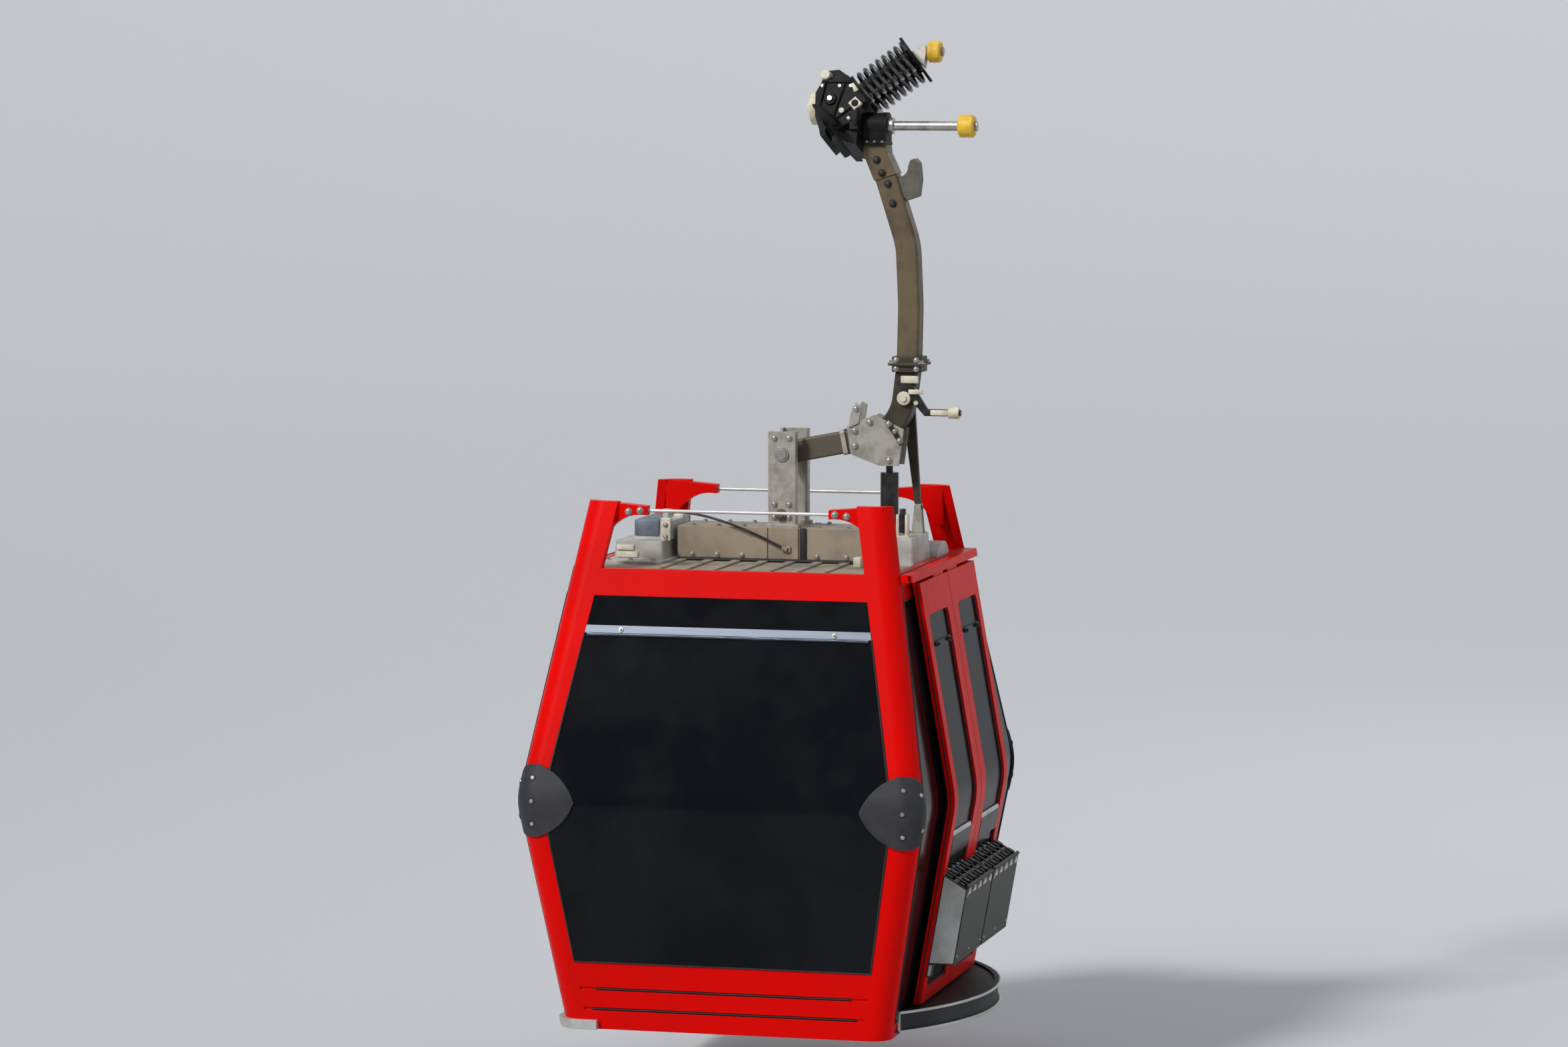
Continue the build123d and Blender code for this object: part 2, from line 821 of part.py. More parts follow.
with BuildPart() as bearing_housing:
    with BuildSketch(Plane.YZ.offset(hanger_pivot_x)):
        with Locations((0, hanger_pivot_z)):
            Circle(hanger_hub_radius)
        with Locations((0, (hanger_pivot_z + head_top) / 2)):
            Rectangle(hanger_depth, hanger_pivot_z - head_top)
        with Locations((0, head_top + housing_flange / 2)):
            Rectangle(hanger_depth + 24, housing_flange)
        with Locations((0, hanger_pivot_z)):
            Circle(main_shaft_radius + shaft_clearance, mode=Mode.SUBTRACT)
    extrude(amount=half_width, both=True)
    with BuildSketch(Plane.YZ.offset(hanger_pivot_x - half_width - 6)):
        with Locations((0, hanger_pivot_z)):
            Circle(hanger_hub_radius - 12)
            Circle(main_shaft_radius + shaft_clearance, mode=Mode.SUBTRACT)
    extrude(amount=6)
save(bearing_housing, "bearing_housing")

# Hanger arm: a bent box section from the head down to the collar
section_corner = 14
with BuildPart() as hanger_arm:
    with BuildLine() as arm_line:
        FilletPolyline(arm_top, arm_knee, arm_low, arm_end, radius=[420, 900])
    with BuildSketch(Plane(arm_top, x_dir=(0, 1, 0), z_dir=head_direction)):
        RectangleRounded(hanger_depth - 10, hanger_width - 6, section_corner)
    sweep()
    with Locations((arm_end.X, 0, collar_z)):
        Box(2 * hanger_width, 2 * hanger_depth, collar_height, mode=Mode.SUBTRACT)
save(hanger_arm, "hanger_arm")

# Bolted collar between the two halves of the hanger
with BuildPart() as hanger_collar:
    with BuildSketch(Plane.XY.offset(collar_z - collar_height / 2)):
        with Locations((arm_end.X, 0)):
            RectangleRounded(hanger_width + 30, hanger_depth + 26, 12)
    extrude(amount=collar_height)
    with BuildSketch(Plane.XY.offset(collar_z - 5)):
        with Locations((arm_end.X, 0)):
            Rectangle(hanger_width + 56, hanger_depth + 50)
    extrude(amount=10)
save(hanger_collar, "hanger_collar")

# Lower arm, sweeping from the collar to the suspension pin above the roof
elbow = Vector(305, 0, suspension_z + 105)
pin_end = Vector(column_x, 0, suspension_z)
lower_start = Vector(arm_end.X, 0, collar_z)
lower_direction = (elbow - lower_start).normalized()
with BuildPart() as hanger_elbow:
    with BuildSketch(Plane.XZ):
        with BuildLine():
            FilletPolyline(
                (lower_start.X, lower_start.Z),
                (elbow.X, elbow.Z),
                (pin_end.X, pin_end.Z),
                radius=[215],
            )
        trace(line_width=hanger_width - 6)
        with Locations((column_x, suspension_z)):
            Circle(hanger_width / 2 - 3)
    extrude(amount=hanger_depth / 2 - 5, both=True)
    with Locations((arm_end.X, 0, collar_z)):
        Box(2 * hanger_width, 2 * hanger_depth, collar_height, mode=Mode.SUBTRACT)
    with BuildSketch(Plane.XZ):
        with Locations((column_x, suspension_z)):
            Circle(suspension_pin_radius)
    extrude(amount=hanger_depth, both=True, mode=Mode.SUBTRACT)
    long_edges = hanger_elbow.edges().filter_by(
        lambda edge: abs(abs(edge.center().Y) - (hanger_depth / 2 - 5)) < 1 and edge.length > 100
    )
    fillet(long_edges, radius=section_corner - 4)
save(hanger_elbow, "hanger_elbow")

# Suspension pin with its rubber bushes between the arm and the column plates
bush_radius = 44
pin_half = column_gap / 2 + column_plate + 14
with BuildPart() as suspension_pin:
    with BuildSketch(Plane.XZ):
        with Locations((column_x, suspension_z)):
            Circle(suspension_pin_radius)
    extrude(amount=pin_half, both=True)
    for end in (-1, 1):
        inner_face = hanger_depth / 2 - 5
        with BuildSketch(Plane.XZ.offset(-end * inner_face)):
            with Locations((column_x, suspension_z)):
                Circle(bush_radius)
        extrude(amount=-end * (column_gap / 2 - inner_face))
        with BuildSketch(Plane.XZ.offset(-end * (column_gap / 2 + column_plate))):
            with Locations((column_x, suspension_z)):
                Circle(suspension_pin_radius + 9)
        extrude(amount=-end * 8)
save(suspension_pin, "suspension_pin")

# Clamp plates on the elbow that carry the damper
clamp_plate = 10
clamp_face = hanger_depth / 2 - 5
clamp_low = suspension_z
clamp_high = suspension_z + 130
band_wall = 7
band_width = 22
damper_x = 250
damper_radius = 42
damper_rod = 60
damper_rod_radius = 16
damper_eye_radius = 20
damper_eye_z = suspension_z - 25
with BuildPart() as elbow_plates:
    for end in (-1, 1):
        with BuildSketch(Plane.XZ.offset(-end * clamp_face)):
            with BuildLine():
                Polyline(
                    (60, clamp_high),
                    (190, clamp_high + 55),
                    (330, clamp_high - 10),
                    (damper_x + 57, damper_eye_z - 25),
                    (damper_x - 38, damper_eye_z - 25),
                    (80, clamp_low),
                    close=True,
                )
            make_face()
        extrude(amount=-end * clamp_plate)
    for band_x in (46, 96):
        share = (band_x - elbow.X) / (pin_end.X - elbow.X)
        middle = elbow + (pin_end - elbow) * share
        with BuildSketch(Plane(middle, x_dir=(0, 1, 0), z_dir=(pin_end - elbow).normalized())):
            band = RectangleRounded(
                2 * (clamp_face + clamp_plate), hanger_width - 6 + 2 * band_wall, section_corner
            )
            RectangleRounded(
                2 * clamp_face, hanger_width - 6, section_corner - 4, mode=Mode.SUBTRACT
            )
        extrude(amount=band_width / 2, both=True)
save(elbow_plates, "elbow_plates")

# Damper between the elbow plates and the roof beam
with BuildPart() as damper:
    with BuildSketch(Plane.XY.offset(beam_top)):
        with Locations((damper_x, 0)):
            Circle(damper_radius)
    extrude(amount=damper_eye_z - damper_rod - beam_top)
    with BuildSketch(Plane.XY.offset(damper_eye_z - damper_rod)):
        with Locations((damper_x, 0)):
            Circle(damper_rod_radius)
    extrude(amount=damper_rod)
    with BuildSketch(Plane.XZ):
        with Locations((damper_x, damper_eye_z)):
            Circle(damper_eye_radius)
    extrude(amount=clamp_face, both=True)
save(damper, "damper")


# Grip, built square to the rope
shaft_start = 70


def across_rope(distance=0):
    """Plane square to the rope, at a distance down it from the clamp's centre."""
    down = Vector(0, cos(radians(rope_slope)), -sin(radians(rope_slope)))
    return Plane(down * distance, x_dir=(1, 0, 0), z_dir=down * -1)


jaw_outer = rope_radius + jaw_wall
spring_angle = 38
spring_root = Vector(112, 205)
spring_length = 300
spring_radius = 78
spring_wire = 11
spring_coils = 8
spring_pitch_along = 92
spring_direction = Vector(cos(radians(spring_angle)), sin(radians(spring_angle)))
seat_radius = 78
seat_normal = Vector(spring_direction.Y, -spring_direction.X)
seat_low = spring_root + seat_normal * seat_radius
seat_high = spring_root - seat_normal * seat_radius
cheek_thickness = 24
body_face = 128
with BuildPart() as grip_body:
    for distance, thickness, crown in (
        # start along the rope, thickness, height of the back edge
        (-jaw_length / 2, cheek_thickness, 250),
        (-jaw_length / 2 + cheek_thickness, jaw_length - 2 * cheek_thickness, 292),
        (jaw_length / 2 - cheek_thickness, cheek_thickness, 250),
    ):
        with BuildSketch(across_rope(distance)):
            with BuildLine():
                Polyline(
                    (-jaw_outer, 0),
                    (-78, 70),
                    (-84, 180),
                    (-50, crown),
                    (14, crown + 8),
                    (seat_high.X, seat_high.Y),
                    (seat_low.X, seat_low.Y),
                    (body_face, seat_low.Y - 14),
                    (body_face, 8),
                    (60, 8),
                    (0, jaw_outer - 10),
                    close=True,
                )
            make_face()
            Circle(jaw_outer)
            with BuildLine():
                Polyline((0, 0), (90, 40), (90, -90), (-90, -90), (-70, -62), close=True)
            make_face(mode=Mode.SUBTRACT)
            Circle(rope_radius, mode=Mode.SUBTRACT)
        extrude(amount=-thickness)
    with BuildSketch(Plane.YZ.offset(shaft_start)):
        with Locations((0, hanger_pivot_z)):
            Circle(main_shaft_radius)
    extrude(amount=hanger_width, mode=Mode.SUBTRACT)
save(grip_body, "grip_body")

# Moving jaw, closing on the rope from below and from the door side
with BuildPart() as grip_jaw:
    with BuildSketch(across_rope()):
        Circle(jaw_outer)
        with BuildLine():
            Polyline((0, 0), (110, 0), (110, -110), (20, -110), close=True)
        make_face(mode=Mode.INTERSECT)
        with BuildLine():
            Polyline((34, -8), (60, -8), (66, 8), (122, 8), (122, -60), (50, -40), close=True)
        make_face()
        Circle(rope_radius, mode=Mode.SUBTRACT)
    extrude(amount=jaw_length / 2 - 20, both=True)
save(grip_jaw, "grip_jaw")

# Main shaft, level, with the guide arm that reaches out to the guide roller
guide_roller_x = 575
guide_roller_width = 75
with BuildPart() as guide_shaft:
    with BuildSketch(Plane.YZ.offset(shaft_start)):
        with Locations((0, hanger_pivot_z)):
            Circle(main_shaft_radius)
    extrude(amount=guide_roller_x - shaft_start)
    with BuildSketch(Plane.YZ.offset(hanger_pivot_x + half_width + 1)):
        with Locations((0, hanger_pivot_z)):
            Circle(38)
    extrude(amount=22)
    with BuildSketch(Plane.YZ.offset(guide_roller_x)):
        with Locations((0, hanger_pivot_z)):
            Circle(14)
    extrude(amount=guide_roller_width + 12)
    with BuildSketch(Plane.YZ.offset(guide_roller_x + guide_roller_width + 1)):
        with Locations((0, hanger_pivot_z)):
            Circle(22)
    extrude(amount=11)
save(guide_shaft, "guide_shaft")

with BuildPart() as guide_roller:
    with BuildSketch(Plane.XZ):
        with BuildLine():
            Polyline(
                (guide_roller_x + 0.5, hanger_pivot_z + 14.3),
                (guide_roller_x + 0.5, hanger_pivot_z + 44),
                (guide_roller_x + 8, hanger_pivot_z + 52),
                (guide_roller_x + guide_roller_width - 8, hanger_pivot_z + 52),
                (guide_roller_x + guide_roller_width, hanger_pivot_z + 44),
                (guide_roller_x + guide_roller_width, hanger_pivot_z + 14.3),
                close=True,
            )
        make_face()
    revolve(axis=Axis((0, 0, hanger_pivot_z), (1, 0, 0)))
save(guide_roller, "guide_roller")

# Running wheel on the blind side of the grip
wheel_radius = 76
wheel_width = 44
wheel_bore = 14
wheel_up = 150
wheel_x = -84 - 6 - wheel_width
wheel_centre = across_rope().from_local_coords(Vector(wheel_x, wheel_up, 0))
with BuildPart() as running_wheel:
    with BuildSketch(Plane.XZ.offset(-wheel_centre.Y)):
        with BuildLine():
            Polyline(
                (wheel_x, wheel_centre.Z + wheel_bore + 0.3),
                (wheel_x, wheel_centre.Z + wheel_radius - 10),
                (wheel_x + 8, wheel_centre.Z + wheel_radius),
                (wheel_x + wheel_width - 8, wheel_centre.Z + wheel_radius),
                (wheel_x + wheel_width, wheel_centre.Z + wheel_radius - 10),
                (wheel_x + wheel_width, wheel_centre.Z + wheel_bore + 0.3),
                close=True,
            )
        make_face()
    revolve(axis=Axis(wheel_centre, (1, 0, 0)))
save(running_wheel, "running_wheel")

with BuildPart() as wheel_axle:
    with BuildSketch(Plane(wheel_centre + Vector(-10, 0, 0), x_dir=(0, 1, 0), z_dir=(1, 0, 0))):
        Circle(wheel_bore)
    extrude(amount=wheel_width + 10 + 14)
    with BuildSketch(Plane(wheel_centre + Vector(-10, 0, 0), x_dir=(0, 1, 0), z_dir=(1, 0, 0))):
        Circle(wheel_bore + 10)
    extrude(amount=8)
    add(grip_body.part, mode=Mode.SUBTRACT)
save(wheel_axle, "wheel_axle")

# Tapered tongues that guide rollers on to the rope at each end of the jaws
tongue_length = 300
with BuildPart() as rope_tongues:
    for end in (-1, 1):
        near_plane = across_rope(end * jaw_length / 2)
        far_plane = across_rope(end * (jaw_length / 2 + tongue_length))
        with BuildSketch(near_plane):
            with Locations((0, rope_radius + 18)):
                Rectangle(62, 32)
        with BuildSketch(far_plane):
            with Locations((0, rope_radius + 6)):
                Rectangle(30, 8)
        loft()
save(rope_tongues, "rope_tongues")

# Spring pack: two coil springs on guide tubes between the seat plate and the end plate
spring_plate = 14
guide_radius = 30


def spring_plane(end, distance):
    """Plane square to one spring's axis, at a distance from the seat."""
    across = across_rope(end * spring_pitch_along)
    root = across.from_local_coords(spring_root + spring_direction * distance)
    along = root - across.from_local_coords(spring_root + spring_direction * (distance - 1))
    return Plane(root, x_dir=across.z_dir, z_dir=along)


with BuildPart() as spring_guides:
    for end in (-1, 1):
        with BuildSketch(spring_plane(end, 0)):
            Circle(seat_radius)
        extrude(amount=spring_plate)
        with BuildSketch(spring_plane(end, spring_plate)):
            Circle(guide_radius)
        extrude(amount=spring_length - 2 * spring_plate)
        with BuildSketch(spring_plane(end, spring_length - spring_plate)):
            Circle(spring_radius + 12)
        extrude(amount=spring_plate)
save(spring_guides, "spring_guides")

# Each spring is a round wire coiled between the plates, with its ends ground flat
coil_radius = spring_radius - spring_wire
coil_height = spring_length - 2 * spring_plate
with BuildPart() as coil_spring:
    with BuildLine() as wire_line:
        Helix(pitch=coil_height / spring_coils, height=coil_height, radius=coil_radius)
    with BuildSketch(Plane(wire_line.line @ 0, x_dir=(0, 0, 1), z_dir=wire_line.line % 0)):
        RegularPolygon(radius=spring_wire, side_count=8)
    sweep(is_frenet=True)
    with Locations((0, 0, coil_height / 2)):
        Cylinder(spring_radius + 5, coil_height, mode=Mode.INTERSECT)

with BuildPart() as grip_springs:
    for end in (-1, 1):
        add(coil_spring.part.moved(spring_plane(end, spring_plate).location))
save(grip_springs, "grip_springs")

# Lever head above the springs, with the lever roller
lever_roller_x = 400
lever_roller_up = 425
lever_roller_radius = 50
lever_roller_width = 62
lever_point = across_rope().from_local_coords(Vector(lever_roller_x, lever_roller_up, 0))
with BuildPart() as lever_head:
    end_root = spring_root + spring_direction * spring_length
    with BuildSketch(across_rope()):
        with BuildLine():
            Polyline(
                (end_root.X - 30, end_root.Y + 20),
                (lever_roller_x - 30, lever_roller_up + 22),
                (lever_roller_x - 6, lever_roller_up + 22),
                (lever_roller_x - 6, lever_roller_up - 22),
                (end_root.X + 40, end_root.Y - 40),
                close=True,
            )
        make_face()
    extrude(amount=26, both=True)
    with BuildSketch(Plane(lever_point - Vector(10, 0, 0), x_dir=(0, 1, 0), z_dir=(1, 0, 0))):
        Circle(12)
    extrude(amount=lever_roller_width + 18)
    with BuildSketch(
        Plane(lever_point + Vector(lever_roller_width + 1, 0, 0), x_dir=(0, 1, 0), z_dir=(1, 0, 0))
    ):
        Circle(20)
    extrude(amount=9)
    add(spring_guides.part, mode=Mode.SUBTRACT)
save(lever_head, "lever_head")

with BuildPart() as lever_roller:
    with BuildSketch(Plane.XZ.offset(-lever_point.Y)):
        with BuildLine():
            Polyline(
                (lever_roller_x + 0.5, lever_point.Z + 12.3),
                (lever_roller_x + 0.5, lever_point.Z + lever_roller_radius - 8),
                (lever_roller_x + 8, lever_point.Z + lever_roller_radius),
                (lever_roller_x + lever_roller_width - 8, lever_point.Z + lever_roller_radius),
                (lever_roller_x + lever_roller_width, lever_point.Z + lever_roller_radius - 8),
                (lever_roller_x + lever_roller_width, lever_point.Z + 12.3),
                close=True,
            )
        make_face()
    revolve(axis=Axis(lever_point, (1, 0, 0)))
save(lever_roller, "lever_roller")

# Guide bracket on the door side of the hanger head, with its upright prong
fork_depth = 70
with BuildPart() as guide_fork:
    with BuildSketch(Plane.XZ):
        with BuildLine():
            block = Polyline(
                (342, -124),
                (352, -92),
                (372, -84),
                (392, -104),
                (400, -180),
                (390, -258),
                (340, -276),
                (300, -240),
                (262, -150),
                (292, -166),
            )
            ThreePointArc(block @ 1, (326, -158), block @ 0)
        make_face()
    extrude(amount=fork_depth / 2, both=True)
    add(hanger_head.part, mode=Mode.SUBTRACT)
    add(hanger_arm.part, mode=Mode.SUBTRACT)
save(guide_fork, "guide_fork")

# Door-opening lever on the near face of the lower arm, with its roller
lever_plate = 16
lever_face = -(hanger_depth / 2 - 5)
lever_end_x = 545
lever_end_z = suspension_z + 200
lever_boss = (332, suspension_z + 335)
lever_wheel_radius = 27
lever_wheel_width = 48
with BuildPart() as door_lever:
    with BuildSketch(Plane.XZ.offset(-lever_face)):
        with Locations(lever_boss):
            Circle(32)
        with BuildLine():
            Polyline(
                (lever_boss[0] - 14, lever_boss[1] - 25),
                (430, lever_end_z - 16),
                (lever_end_x, lever_end_z - 16),
                (lever_end_x, lever_end_z + 16),
                (446, lever_end_z + 16),
                (lever_boss[0] + 24, lever_boss[1] + 19),
                close=True,
            )
        make_face()
    extrude(amount=lever_plate)
    lever_pin_y = lever_face - lever_plate / 2
    with BuildSketch(Plane.YZ.offset(lever_end_x)):
        with Locations((lever_pin_y, lever_end_z)):
            Circle(8)
    extrude(amount=lever_wheel_width + 8)
    with BuildSketch(Plane.YZ.offset(lever_end_x + lever_wheel_width + 1)):
        with Locations((lever_pin_y, lever_end_z)):
            Circle(14)
    extrude(amount=7)
save(door_lever, "door_lever")

with BuildPart() as lever_wheel:
    with BuildSketch(Plane.YZ.offset(lever_end_x + 0.5)):
        with Locations((lever_pin_y, lever_end_z)):
            Circle(lever_wheel_radius)
            Circle(8.3, mode=Mode.SUBTRACT)
    extrude(amount=lever_wheel_width)
save(lever_wheel, "lever_wheel")

# Door control strut from the far face of the lower arm to the gear on the roof
strut_depth = 22
strut_face = clamp_face + clamp_plate
strut_pin = (322, suspension_z + 245)
strut_low_x = 372
strut_low_z = suspension_z - 250
gear_base = beam_low + housing_height
with BuildPart() as door_strut:
    with BuildSketch(Plane.XZ.offset(-strut_face)):
        with BuildLine():
            Polyline(
                (strut_pin[0] - 32, strut_pin[1] + 5),
                (strut_pin[0] + 30, strut_pin[1] + 15),
                (strut_low_x + 12, strut_low_z),
                (strut_low_x - 14, strut_low_z),
                close=True,
            )
        make_face()
        with Locations((strut_low_x, strut_low_z)):
            Circle(20)
        with Locations(strut_pin):
            Circle(26)
    extrude(amount=-strut_depth)
    with BuildSketch(Plane.XZ.offset(-clamp_face)):
        with Locations(strut_pin):
            Circle(16)
    extrude(amount=-clamp_plate)
save(door_strut, "door_strut")

# Door gear: a stand on the door-side housing that the strut ends in
gear_gap = 1
with BuildPart() as door_gear:
    for face in (strut_face - 12, strut_face + strut_depth):
        with BuildSketch(Plane.XZ.offset(-face)):
            with BuildLine():
                Polyline(
                    (strut_low_x - 30, gear_base),
                    (strut_low_x + 26, gear_base),
                    (strut_low_x + 14, strut_low_z + 16),
                    (strut_low_x - 14, strut_low_z + 16),
                    close=True,
                )
            make_face()
        extrude(amount=-12)
save(door_gear, "door_gear")

# Tie rods between the horns of each end
tie_radius = 8
tie_half = horn_x - gusset_reach
with BuildPart() as horn_ties:
    for end in (-1, 1):
        tie_y = end * (-horn_y - wall - gusset_thickness / 2)
        with BuildSketch(Plane.YZ.offset(cabin_x)):
            with Locations((tie_y, base_z + horn_top - 42)):
                Circle(tie_radius)
        extrude(amount=tie_half, both=True)
save(horn_ties, "horn_ties")
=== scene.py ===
import json
from math import cos, radians, sin

import bmesh
import bpy
from mathutils import Matrix, Vector

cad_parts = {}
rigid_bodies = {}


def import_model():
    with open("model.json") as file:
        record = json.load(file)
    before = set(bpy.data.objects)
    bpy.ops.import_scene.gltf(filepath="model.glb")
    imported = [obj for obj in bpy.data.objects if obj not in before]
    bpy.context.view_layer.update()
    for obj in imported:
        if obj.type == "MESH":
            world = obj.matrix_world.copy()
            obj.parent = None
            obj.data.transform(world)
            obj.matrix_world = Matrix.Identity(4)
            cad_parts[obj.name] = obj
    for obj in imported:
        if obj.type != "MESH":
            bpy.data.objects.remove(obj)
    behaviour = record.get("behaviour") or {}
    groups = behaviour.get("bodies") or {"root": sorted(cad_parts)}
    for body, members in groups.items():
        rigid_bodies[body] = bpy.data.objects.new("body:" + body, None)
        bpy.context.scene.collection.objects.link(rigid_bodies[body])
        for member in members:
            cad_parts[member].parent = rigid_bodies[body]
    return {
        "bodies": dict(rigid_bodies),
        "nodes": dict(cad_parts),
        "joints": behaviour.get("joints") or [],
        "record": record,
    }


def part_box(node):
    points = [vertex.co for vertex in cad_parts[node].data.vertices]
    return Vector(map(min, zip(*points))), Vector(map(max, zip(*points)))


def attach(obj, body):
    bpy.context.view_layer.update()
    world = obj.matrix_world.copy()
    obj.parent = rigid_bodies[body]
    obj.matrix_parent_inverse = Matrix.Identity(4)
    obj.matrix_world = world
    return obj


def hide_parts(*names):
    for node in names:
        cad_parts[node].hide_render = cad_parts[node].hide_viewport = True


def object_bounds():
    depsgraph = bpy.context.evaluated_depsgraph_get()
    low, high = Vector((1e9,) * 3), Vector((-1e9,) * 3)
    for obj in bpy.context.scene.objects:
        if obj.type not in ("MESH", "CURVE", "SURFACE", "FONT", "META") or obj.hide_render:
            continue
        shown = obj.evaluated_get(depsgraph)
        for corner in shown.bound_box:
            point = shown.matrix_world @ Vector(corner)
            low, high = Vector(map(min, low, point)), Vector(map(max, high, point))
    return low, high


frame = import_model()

cad_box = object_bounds()
nodes = frame["nodes"]

# Setting: a pale floor that curves up to a wall all round, a sun and a large soft light from the near
# left, weaker ones above and behind, and a camera at the photograph's angle, far off with a long lens.
camera_azimuth = radians(14.5)
camera_elevation = radians(5.2)
camera_distance = 26
camera_margin = 1.08
photo_aspect = 2349 / 1568
floor_z = cad_box[0].z - 0.38
floor_radius = 42
wall_bend = 110
centre = (cad_box[0] + cad_box[1]) / 2
height = cad_box[1].z - cad_box[0].z
away = Vector((
    sin(camera_azimuth) * cos(camera_elevation),
    -cos(camera_azimuth) * cos(camera_elevation),
    sin(camera_elevation),
))
camera = bpy.data.objects.new("camera", bpy.data.cameras.new("camera"))
camera.location = centre + away * camera_distance
camera.rotation_euler = away.to_track_quat("Z", "Y").to_euler()
camera.data.lens = camera.data.sensor_width * camera_distance / (height * camera_margin * photo_aspect)
camera.data.clip_end = 2 * (floor_radius + wall_bend)
bpy.context.scene.collection.objects.link(camera)
bpy.context.scene.camera = camera
bpy.context.scene.view_settings.view_transform = "Standard"

floor_mesh = bmesh.new()
bowl_line = [Vector((0, 0, floor_z)), Vector((floor_radius, 0, floor_z))]
bowl_line += [
    Vector((
        floor_radius + wall_bend * sin(radians(turn)),
        0,
        floor_z + wall_bend * (1 - cos(radians(turn))),
    ))
    for turn in range(3, 91, 3)
]
bowl_rim = [floor_mesh.verts.new(place) for place in bowl_line]
bowl_edges = [floor_mesh.edges.new(pair) for pair in zip(bowl_rim, bowl_rim[1:])]
bmesh.ops.spin(
    floor_mesh,
    geom=bowl_rim + bowl_edges,
    axis=(0, 0, 1),
    cent=(0, 0, 0),
    angle=radians(360),
    steps=72,
    use_merge=True,
)
bmesh.ops.remove_doubles(floor_mesh, verts=floor_mesh.verts, dist=0.001)
bmesh.ops.recalc_face_normals(floor_mesh, faces=floor_mesh.faces)
if floor_mesh.faces[0].normal.z < 0:
    bmesh.ops.reverse_faces(floor_mesh, faces=floor_mesh.faces)
floor_data = bpy.data.meshes.new("studio_floor")
floor_mesh.to_mesh(floor_data)
floor_mesh.free()
floor_data.polygons.foreach_set("use_smooth", [True] * len(floor_data.polygons))
studio_floor = bpy.data.objects.new("studio_floor", floor_data)
bpy.context.scene.collection.objects.link(studio_floor)
floor_paint = bpy.data.materials.new("studio_floor")
floor_paint.use_nodes = True
floor_paint.node_tree.nodes["Principled BSDF"].inputs["Base Color"].default_value = (0.60, 0.61, 0.63, 1)
floor_paint.node_tree.nodes["Principled BSDF"].inputs["Roughness"].default_value = 0.9
floor_data.materials.append(floor_paint)

for name, place, size, power in (
    # light, its place, the length of its side, its power
    ("key_light", (-9, -12, 6), 6, 560),
    ("fill_light", (11, -8, 1), 7, 50),
    ("back_light", (6, 12, 5), 6, 180),
    ("top_light", (-1, -1, 8), 5, 120),
):
    lamp = bpy.data.lights.new(name, "AREA")
    lamp.size = size
    lamp.energy = power
    light = bpy.data.objects.new(name, lamp)
    light.location = place
    light.rotation_euler = (Vector(place) - centre).to_track_quat("Z", "Y").to_euler()
    bpy.context.scene.collection.objects.link(light)

sun_lamp = bpy.data.lights.new("sun_light", "SUN")
sun_lamp.energy = 2.4
sun_lamp.angle = radians(9)
sun = bpy.data.objects.new("sun_light", sun_lamp)
sun.rotation_euler = Vector((-5, -9, 8)).to_track_quat("Z", "Y").to_euler()
bpy.context.scene.collection.objects.link(sun)

sky = bpy.data.worlds.new("soft_sky")
sky.use_nodes = True
sky.node_tree.nodes["Background"].inputs["Color"].default_value = (0.90, 0.94, 1.0, 1)
sky.node_tree.nodes["Background"].inputs["Strength"].default_value = 0.36
bpy.context.scene.world = sky


